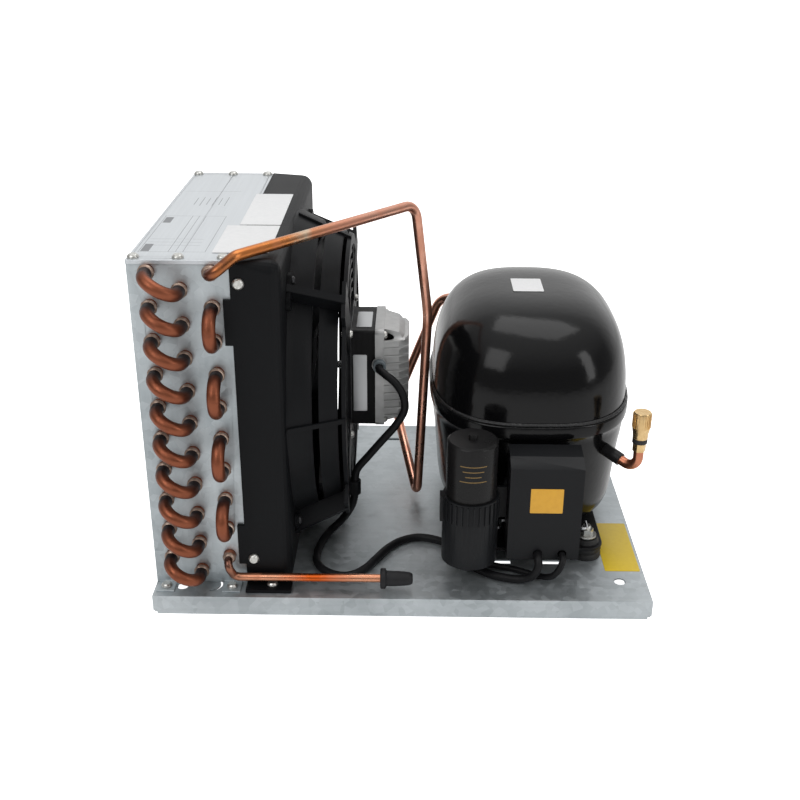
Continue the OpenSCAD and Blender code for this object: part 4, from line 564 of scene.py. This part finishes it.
cap_rubber = mottled("transport_cap_rubber", (420, 4), (20, 20, 22), (36, 36, 38), 0.00008, (0.45, 0.65),
                     Roughness=0.55, Specular_IOR_Level=0.25)
cap_mouth = -0.017
transport_cap = turned("transport_cap", [(cap_mouth, liquid_y, liquid_z)], [
    (0.00322, 0.0003), (0.0072, 0), (0.0078, 0.0004), (0.008, 0.001), (0.008, 0.0034), (0.0077, 0.0041),
    (0.0068, 0.0044), (0.0061, 0.0049), (0.006, 0.0056), (0.0059, 0.012), (0.0056, 0.018), (0.0052, 0.0215),
    (0.0048, 0.0232), (0.004, 0.0246), (0.003, 0.025), (0, 0.025)], "X", "line_cap", cap_rubber, steps=40)
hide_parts("liquid_line_cap")

# Fan shroud and motor basket
# Black glass-filled moulding with a fine matt texture. The box fits over the coil, the air
# ring stands out of it and the basket carries the motor behind the fan.
moulding = material("satin_black_moulding", Roughness=0.46, Specular_IOR_Level=0.12)
mould_skin = moulding.grain(1500, 3)
mould_cloud = moulding.grain(12, 5)
moulding.paint(Base_Color=moulding.tint(mould_cloud, tone(11, 12, 14), tone(19, 20, 22)),
               Roughness=moulding.span(mould_cloud + mould_skin, 0.6, 1.4, 0.38, 0.55))
moulding.emboss(mould_skin, 0.00007)
dress(moulding, "fan_shroud", edge=0.0005)
dress(moulding, "motor_basket", edge=0)
dress(moulding, "cable_clip", edge=0.0003)
black_screw = mottled("black_screw", (800, 3), (40, 40, 42), (72, 72, 74), 0.00004,
                      Metallic=0.7, Roughness=0.42)
dress(black_screw, "basket_screws", edge=0.0002)

# Fan wheel
# Five swept blades moulded with their hub in grey-black nylon, held by a nut on the shaft.
nylon = material("fan_nylon", Roughness=0.42, Specular_IOR_Level=0.2)
nylon_flow = nylon.grain(30, 5, (1, 1, 1), 1.2)
nylon.paint(Base_Color=nylon.tint(nylon_flow, tone(22, 23, 25), tone(36, 37, 39)),
            Roughness=nylon.span(nylon_flow, 0.3, 0.7, 0.34, 0.5))
nylon.emboss(nylon.grain(900), 0.00006)
dress(nylon, "fan_wheel", edge=0)
ground = material("ground_steel", Metallic=1.0, Roughness=0.25)
ground_rings = ground.grain(500, 2, (1, 0.05, 1))
ground.paint(Base_Color=ground.tint(ground_rings, tone(208, 210, 212), tone(150, 152, 154)),
             Roughness=ground.span(ground_rings, 0.2, 0.8, 0.18, 0.36))
ground.emboss(ground_rings, 0.00003)
dress(ground, "fan_nut", "motor_shaft", "crankshaft", "terminal_pins", "piston", edge=0.0002)

# Fan motor
# A shaded-pole motor: die-cast bracket and end cap round a painted stack of laminations,
# through-bolted, with a plain silver label where a maker would put its plate.
cast = material("cast_aluminium", Metallic=0.55, Roughness=0.48)
cast_skin = cast.grain(220, 6)
cast_cloud = cast.grain(25, 4)
cast.paint(Base_Color=cast.tint(cast_cloud, tone(158, 159, 159), tone(196, 196, 195)),
           Roughness=cast.span(cast_skin, 0.3, 0.7, 0.38, 0.6))
cast.emboss(cast_skin, 0.00018)
dress(cast, "motor_end_cap", edge=0.0006)
bracket_steel = mottled("motor_bracket_steel", (160, 5), (112, 113, 115), (150, 151, 152), 0.0001,
                        Metallic=0.7, Roughness=0.45)
dress(bracket_steel, "motor_bracket", edge=0.0004)
layers = material("painted_laminations", Metallic=0.1, Roughness=0.42, Specular_IOR_Level=0.2)
layer_lines = layers.node("ShaderNodeTexWave", {"bands_direction": "X"}, {
    "Vector": layers.place(), "Scale": 320, "Distortion": 0.6, "Detail": 2})
layer_wear = layers.grain(60, 6)
layer_rub = layers.span(layer_wear * layer_lines, 0.25, 0.7)
layers.paint(Base_Color=layers.tint(layer_rub, tone(17, 17, 19), tone(40, 39, 38)),
             Roughness=layers.span(layer_wear, 0.3, 0.7, 0.34, 0.55))
layers.emboss(layer_lines, 0.00015)
dress(layers, "motor_stack", edge=0.0004)
wound = material("enamelled_windings", Metallic=0.6, Roughness=0.34)
wound_lines = wound.node("ShaderNodeTexWave", {"bands_direction": "Z"}, {
    "Vector": wound.place(), "Scale": 420, "Distortion": 1.5, "Detail": 2})
wound.paint(Base_Color=wound.tint(wound_lines, tone(104, 44, 22), tone(190, 98, 52)))
wound.emboss(wound_lines, 0.0003)
dress(wound, "motor_windings", "compressor_windings", edge=0.0008)
electrical = material("rotor_cage", Metallic=0.8, Roughness=0.44)
electrical_lines = electrical.grain(200, 3, (4, 0.4, 0.4))
electrical.paint(Base_Color=electrical.tint(electrical_lines, tone(120, 122, 124), tone(168, 168, 166)))
electrical.emboss(electrical_lines, 0.0001)
dress(electrical, "motor_rotor", "compressor_rotor", "compressor_stator", edge=0.0004)
bronze = mottled("bearing_bronze", (500, 3), (190, 146, 84), (140, 100, 56), 0.00006,
                 Metallic=0.9, Roughness=0.36)
dress(bronze, "motor_bearings", edge=0.0002)
gland_rubber = mottled("gland_rubber", (300, 4), (118, 128, 133), (92, 100, 105), 0.0001, Roughness=0.5)
dress(gland_rubber, "cable_gland", edge=0.0003)


def rounded_outline(wide, tall, r, steps=5):
    corners = []
    for q, (sx, sy) in enumerate(((1, 1), (-1, 1), (-1, -1), (1, -1))):
        for k in range(steps + 1):
            turn = math.pi / 2 * (q + k / steps)
            corners.append((sx * (wide / 2 - r) + r * math.cos(turn),
                            sy * (tall / 2 - r) + r * math.sin(turn)))
    return corners


label_thickness = 0.00025


def label(name, centre, across, up, wide, tall, r, finish):
    """A thin stuck-on label: a rounded rectangle with a raised, softened edge."""
    across, up = Vector(across), Vector(up)
    out = across.cross(up)
    points, faces = [], []
    rings = ((0, 0), (0, label_thickness * 0.7), (0.0003, label_thickness))
    for inset, rise in rings:
        for x, y in rounded_outline(wide - 2 * inset, tall - 2 * inset, max(r - inset, 0.0002)):
            points.append(Vector(centre) + x * across + y * up + rise * out)
    n = len(points) // len(rings)
    for i in range(len(rings) - 1):
        for k in range(n):
            a, b = i * n + k, i * n + (k + 1) % n
            faces.append((a, b, b + n, a + n))
    faces.append(tuple((len(rings) - 1) * n + k for k in range(n)))
    return shape(name, points, faces, "unit", finish, 30)


foil = mottled("silver_label_foil", (90, 5), (176, 178, 180), (198, 200, 201), 0.00004, (0.28, 0.42),
               Metallic=0.55, Roughness=0.35)
stack_front, stack_top = -0.03102, 0.1886
along_x, along_y, along_z = (1, 0, 0), (0, 1, 0), (0, 0, 1)
label_corner = 0.001
label("motor_plate_front", (-0.0365, stack_front, 0.143), along_x, along_z, 0.0112, 0.05, label_corner, foil)
label("motor_plate_top", (-0.0335, -0.004, stack_top), along_x, along_y, 0.0125, 0.036, label_corner, foil)

# Compressor shell
# Two deep-drawn steel halves, the lower one with a flared lip, welded round and dipped in
# gloss black enamel. The enamel shows the studio in it and sags a little over the weld.
enamel = material("gloss_black_enamel", Roughness=0.16, Specular_IOR_Level=0.24)
enamel_cloud = enamel.grain(9, 5)
enamel_peel = enamel.grain(170, 3)
enamel.paint(Base_Color=enamel.tint(enamel_cloud, tone(8, 8, 9), tone(15, 15, 16)),
             Roughness=enamel.span(enamel_cloud, 0.3, 0.7, 0.12, 0.22))
enamel.emboss(enamel_peel + 2 * enamel.grain(28, 3), 0.00012)
shell_x, shell_y = 0.104, 0.0195
shell_centre = Vector((shell_x, shell_y, 0))
dome_half = 0.081
shell_power, dome_power = 2.75, 3.4
shell_ratio = 107.5 / 81
foot_z, spring_z, seam_z, crown_z = 0.0285, 0.1085, 0.1325, 0.213
bowl_gap, dome_lap, dome_skirt = 0.013, 0.008, 0.0085
dome_tip, dome_steps = 0.0004, 60


def oval_way(turn):
    """The point of the shell's unit oval at an angle."""
    c, s = math.cos(turn), math.sin(turn)
    return math.copysign(abs(c) ** (2 / shell_power), c), math.copysign(abs(s) ** (2 / shell_power), s)


def oval_skin(name, sections, body, finish, sides=128, sharp=50):
    points, faces = [], []
    for half, z in sections:
        for k in range(sides):
            x, y = oval_way(2 * math.pi * k / sides)
            points.append(shell_centre + Vector((x * half, y * half * shell_ratio, z)))
    for i in range(len(sections) - 1):
        for k in range(sides):
            a, b = i * sides + k, i * sides + (k + 1) % sides
            faces.append((a, b, b + sides, a + sides))
    faces.append(tuple(range(sides))[::-1])
    faces.append(tuple((len(sections) - 1) * sides + k for k in range(sides)))
    return shape(name, points, faces, body, finish, sharp)


def dome_arc(steps):
    arc = []
    for k in range(steps + 1):
        turn = math.pi / 2 * k / steps
        half = dome_half * max(math.cos(turn), 0) ** (2 / dome_power)
        arc.append((max(half, dome_tip), spring_z + (crown_z - spring_z) * math.sin(turn) ** (2 / dome_power)))
    return arc


upper_outer = [(h, z) for h, z in dome_arc(dome_steps) if z > seam_z - dome_lap]
upper_outer = [(upper_outer[0][0], seam_z - dome_skirt)] + upper_outer
upper = oval_skin("upper_shell_enamel", upper_outer, "unit", enamel)
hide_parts("upper_shell")

bowl_rise = seam_z - bowl_gap - foot_z
bowl = [(0.64, 0), (0.7, 0.012), (0.78, 0.04), (0.825, 0.068), (0.86, 0.1), (0.89, 0.146), (0.91, 0.2),
        (0.924, 0.29), (0.935, 0.42), (0.948, 0.55), (0.96, 0.68), (0.973, 0.78), (0.985, 0.86), (0.995, 0.95)]
lower_outer = [(dome_half * a, foot_z + bowl_rise * b) for a, b in bowl]
lower_outer += [(dome_half + out, seam_z + rise) for out, rise in (
    (0.0002, -0.0128), (0.0009, -0.0115), (0.0017, -0.0104), (0.002, -0.009), (0.002, -0.0012),
    (0.0017, -0.0004), (0.0012, 0), (0.0003, 0))]
lower = oval_skin("lower_shell_enamel", lower_outer, "unit", enamel)
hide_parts("lower_shell")

seam_sides, seam_cross = 360, 7
seam_ripples, seam_grain = 150, 22
bead_out, bead_slope, bead_rise, bead_gap = 0.0008, 0.001, 0.0024, 0.0001
seam_points, seam_faces = [], []
random.seed(7)
seam_shift = random.uniform(0, 100)
for k in range(seam_sides):
    ring_turn = 2 * math.pi * k / seam_sides
    x, y = oval_way(ring_turn)
    spot = Vector((math.cos(ring_turn) * seam_grain + seam_shift, math.sin(ring_turn) * seam_grain, 0))
    swell = 1 + 0.35 * noise.noise(spot) + 0.2 * math.sin(seam_ripples * ring_turn)
    for j in range(seam_cross):
        share = j / (seam_cross - 1)
        half = dome_half + bead_gap + bead_out * swell * math.sin(math.pi * share) + bead_slope * (1 - share)
        z = seam_z + bead_gap + bead_rise * share * (0.8 + 0.2 * swell)
        seam_points.append(shell_centre + Vector((x * half, y * half * shell_ratio, z)))
for k in range(seam_sides):
    for j in range(seam_cross - 1):
        a, b = k * seam_cross + j, ((k + 1) % seam_sides) * seam_cross + j
        seam_faces.append((a, b, b + 1, a + 1))
weld = mottled("weld_enamel", (500, 5), (10, 10, 11), (34, 34, 35), 0.0006, (0.2, 0.5),
               Roughness=0.3, Specular_IOR_Level=0.4)
seam = shape("weld_seam", seam_points, seam_faces, "unit", weld, 70)
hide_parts("weld_bead")

# Compressor mounting
# A pressed base plate in black enamel on four rubber grommets, each with a steel sleeve,
# a bolt, a washer and a nut.
foot_black = mottled("base_plate_enamel", (70, 5), (20, 20, 21), (34, 34, 35), 0.0001, (0.26, 0.46),
                     Roughness=0.34, Specular_IOR_Level=0.2)
dress(foot_black, "shell_base", edge=0.0006)
grommet = mottled("grommet_rubber", (400, 4), (18, 18, 19), (38, 38, 38), 0.0001, Roughness=0.62)
dress(grommet, "rubber_grommets", edge=0.0004)
dress(screw_steel, "compressor_bolts", "grommet_sleeves", edge=0.0003)

# Inside the compressor
# Grey iron block and head, a forged rod and springs of bright wire: seldom seen, still finished.
iron = mottled("grey_iron", (260, 6), (96, 97, 98), (132, 132, 130), 0.0003, Metallic=0.5, Roughness=0.6)
dress(iron, "cylinder_block", "cylinder_head", edge=0.0006)
forged = mottled("forged_rod", (180, 5), (110, 111, 113), (160, 160, 160), 0.0001,
                 Metallic=0.8, Roughness=0.46)
dress(forged, "connecting_rod", "suspension_springs", edge=0.0003)
plain_copper = material("clean_copper", Metallic=0.95, Roughness=0.3)
plain_stain = plain_copper.grain(70, 6, warp=0.5)
plain_copper.paint(Base_Color=plain_copper.tint(plain_stain, tone(212, 146, 116), tone(172, 102, 76)),
                   Roughness=plain_copper.span(plain_stain, 0.3, 0.7, 0.24, 0.42))
plain_copper.emboss(plain_copper.grain(260, 5), 0.00006)
dress(plain_copper, "shock_loop", edge=0)
suction_turn, suction_reach, suction_rise, suction_bend = math.radians(52), 34, 46, 9
suction_way = Vector((math.cos(suction_turn), math.sin(suction_turn), 0))
suction_root = Vector((shell_x + 0.07 * suction_way.x, shell_y + 0.092 * suction_way.y, 0.088)) / mm
suction_far = suction_root + suction_reach * suction_way
suction_top = suction_far + Vector((0, 0, suction_rise))
suction_line = cornered([suction_root, suction_far, suction_top], [suction_bend], corner_steps)
suction = tube("suction_run", suction_line, gas_pipe, "unit", plain_copper)
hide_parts("suction_stub")

# Terminal box
# A black moulded cover with a sloping shoulder, held on the fence round the terminals by a
# sprung wire clip, with the relay and the glass-sealed pins behind it.
cover_black = material("terminal_cover_moulding", Roughness=0.36, Specular_IOR_Level=0.16)
cover_skin = cover_black.grain(1300, 3)
cover_cloud = cover_black.grain(16, 4)
cover_black.paint(Base_Color=cover_black.tint(cover_cloud, tone(17, 18, 20), tone(27, 28, 30)),
                  Roughness=cover_black.span(cover_cloud, 0.3, 0.7, 0.3, 0.42))
cover_black.emboss(cover_skin, 0.00006)
dress(cover_black, "terminal_cover", edge=0.0016)
dress(moulding, "terminal_fence", edge=0.0004)
relay_black = mottled("relay_case", (500, 3), (44, 44, 48), (60, 60, 64), 0.00005, Roughness=0.3)
dress(relay_black, "start_relay", edge=0.0006)
dress(ground, "cover_clip", edge=0)

# Capacitor
# A plastic can with a blank gilt-ruled field on its side, in a ribbed black holder.
can = material("capacitor_can", Roughness=0.3, Specular_IOR_Level=0.2)
can_skin = can.grain(40, 5)
can_z = can.along(2)
can_x = can.along(0)
can_axis_x, first_rule_z = 0.052, 0.122
can_fields = [(can_axis_x, first_rule_z - 0.0042 * k, 0.010 - 0.002 * (k % 3), 0.00035) for k in range(4)]
can_print = printed(can, can_x, can_z, can_fields) * can.span(can.along(1), -0.118, -0.1185)
can_plain = can.tint(can_skin, tone(17, 17, 18), tone(27, 26, 26))
can.paint(Base_Color=can.tint(can_print * 0.7, can_plain, tone(150, 122, 74)),
          Roughness=can.span(can_skin, 0.3, 0.7, 0.24, 0.38))
can.emboss(can.grain(700), 0.00004)
dress(can, "capacitor", edge=0.0005)
dress(cover_black, "capacitor_holder", edge=0.0004)

# Service valve
# A brazed copper elbow with a black sleeve at the shell, a small brass valve with its sprung
# core, and a knurled brass cap that screws down on a rubber seal.
service_line = cornered([(152, -54.5, 105), (168, -76.5, 102), (183, -90, 96), (183, -90, 115)], [12, 9],
                        corner_steps)
service = tube("service_run", service_line, gas_pipe, "unit", plain_copper)
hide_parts("service_stub")
sleeve_end, sleeve_radius = corner_steps + 1, 0.0052
sleeve_line = service_line[:sleeve_end + 1] + [service_line[sleeve_end].lerp(service_line[sleeve_end + 1], 0.5)]
sleeve = tube("service_sleeve", sleeve_line, sleeve_radius, "unit", foot_black)
brass = mottled("yellow_brass", (240, 5), (236, 208, 156), (196, 158, 104), 0.00005, (0.22, 0.4),
                Metallic=0.95, Roughness=0.3)
dress(brass, "service_valve", "valve_core", "service_cap", edge=0.0002)
dress(grommet, "service_cap_seal", edge=0.0002)

# Labels
# Plain stuck-on labels where the real ones are: white paper, a yellow one and an amber one.
paper = mottled("white_label_paper", (350, 4), (228, 229, 230), (242, 242, 242), 0.00004, Roughness=0.5)
sheet_top, crown_top, tray_top, cover_front = 0.27825, 0.2131, 0.01602, -0.12402
label("label_sheet_corner", (-0.115, -0.0805, sheet_top), along_x, along_y, 0.04, 0.071, label_corner, paper)
label("label_sheet_strip", (-0.1105, 0.005, sheet_top), along_x, along_y, 0.031, 0.096, label_corner, paper)
label("label_crown", (0.1005, 0.0155, crown_top), along_x, along_y, 0.025, 0.033, label_corner, paper)
yellow = mottled("yellow_label_film", (300, 4), (238, 206, 40), (226, 190, 30), 0.00004, Roughness=0.4)
label("label_tray", (0.1757, -0.0735, tray_top), along_x, along_y, 0.028, 0.074, label_corner, yellow)
amber = mottled("amber_label_film", (300, 4), (222, 168, 48), (206, 150, 38), 0.00004, Roughness=0.4)
label("label_cover", (0.1095, cover_front, 0.087), along_x, along_z, 0.025, 0.021, 0.0008, amber)
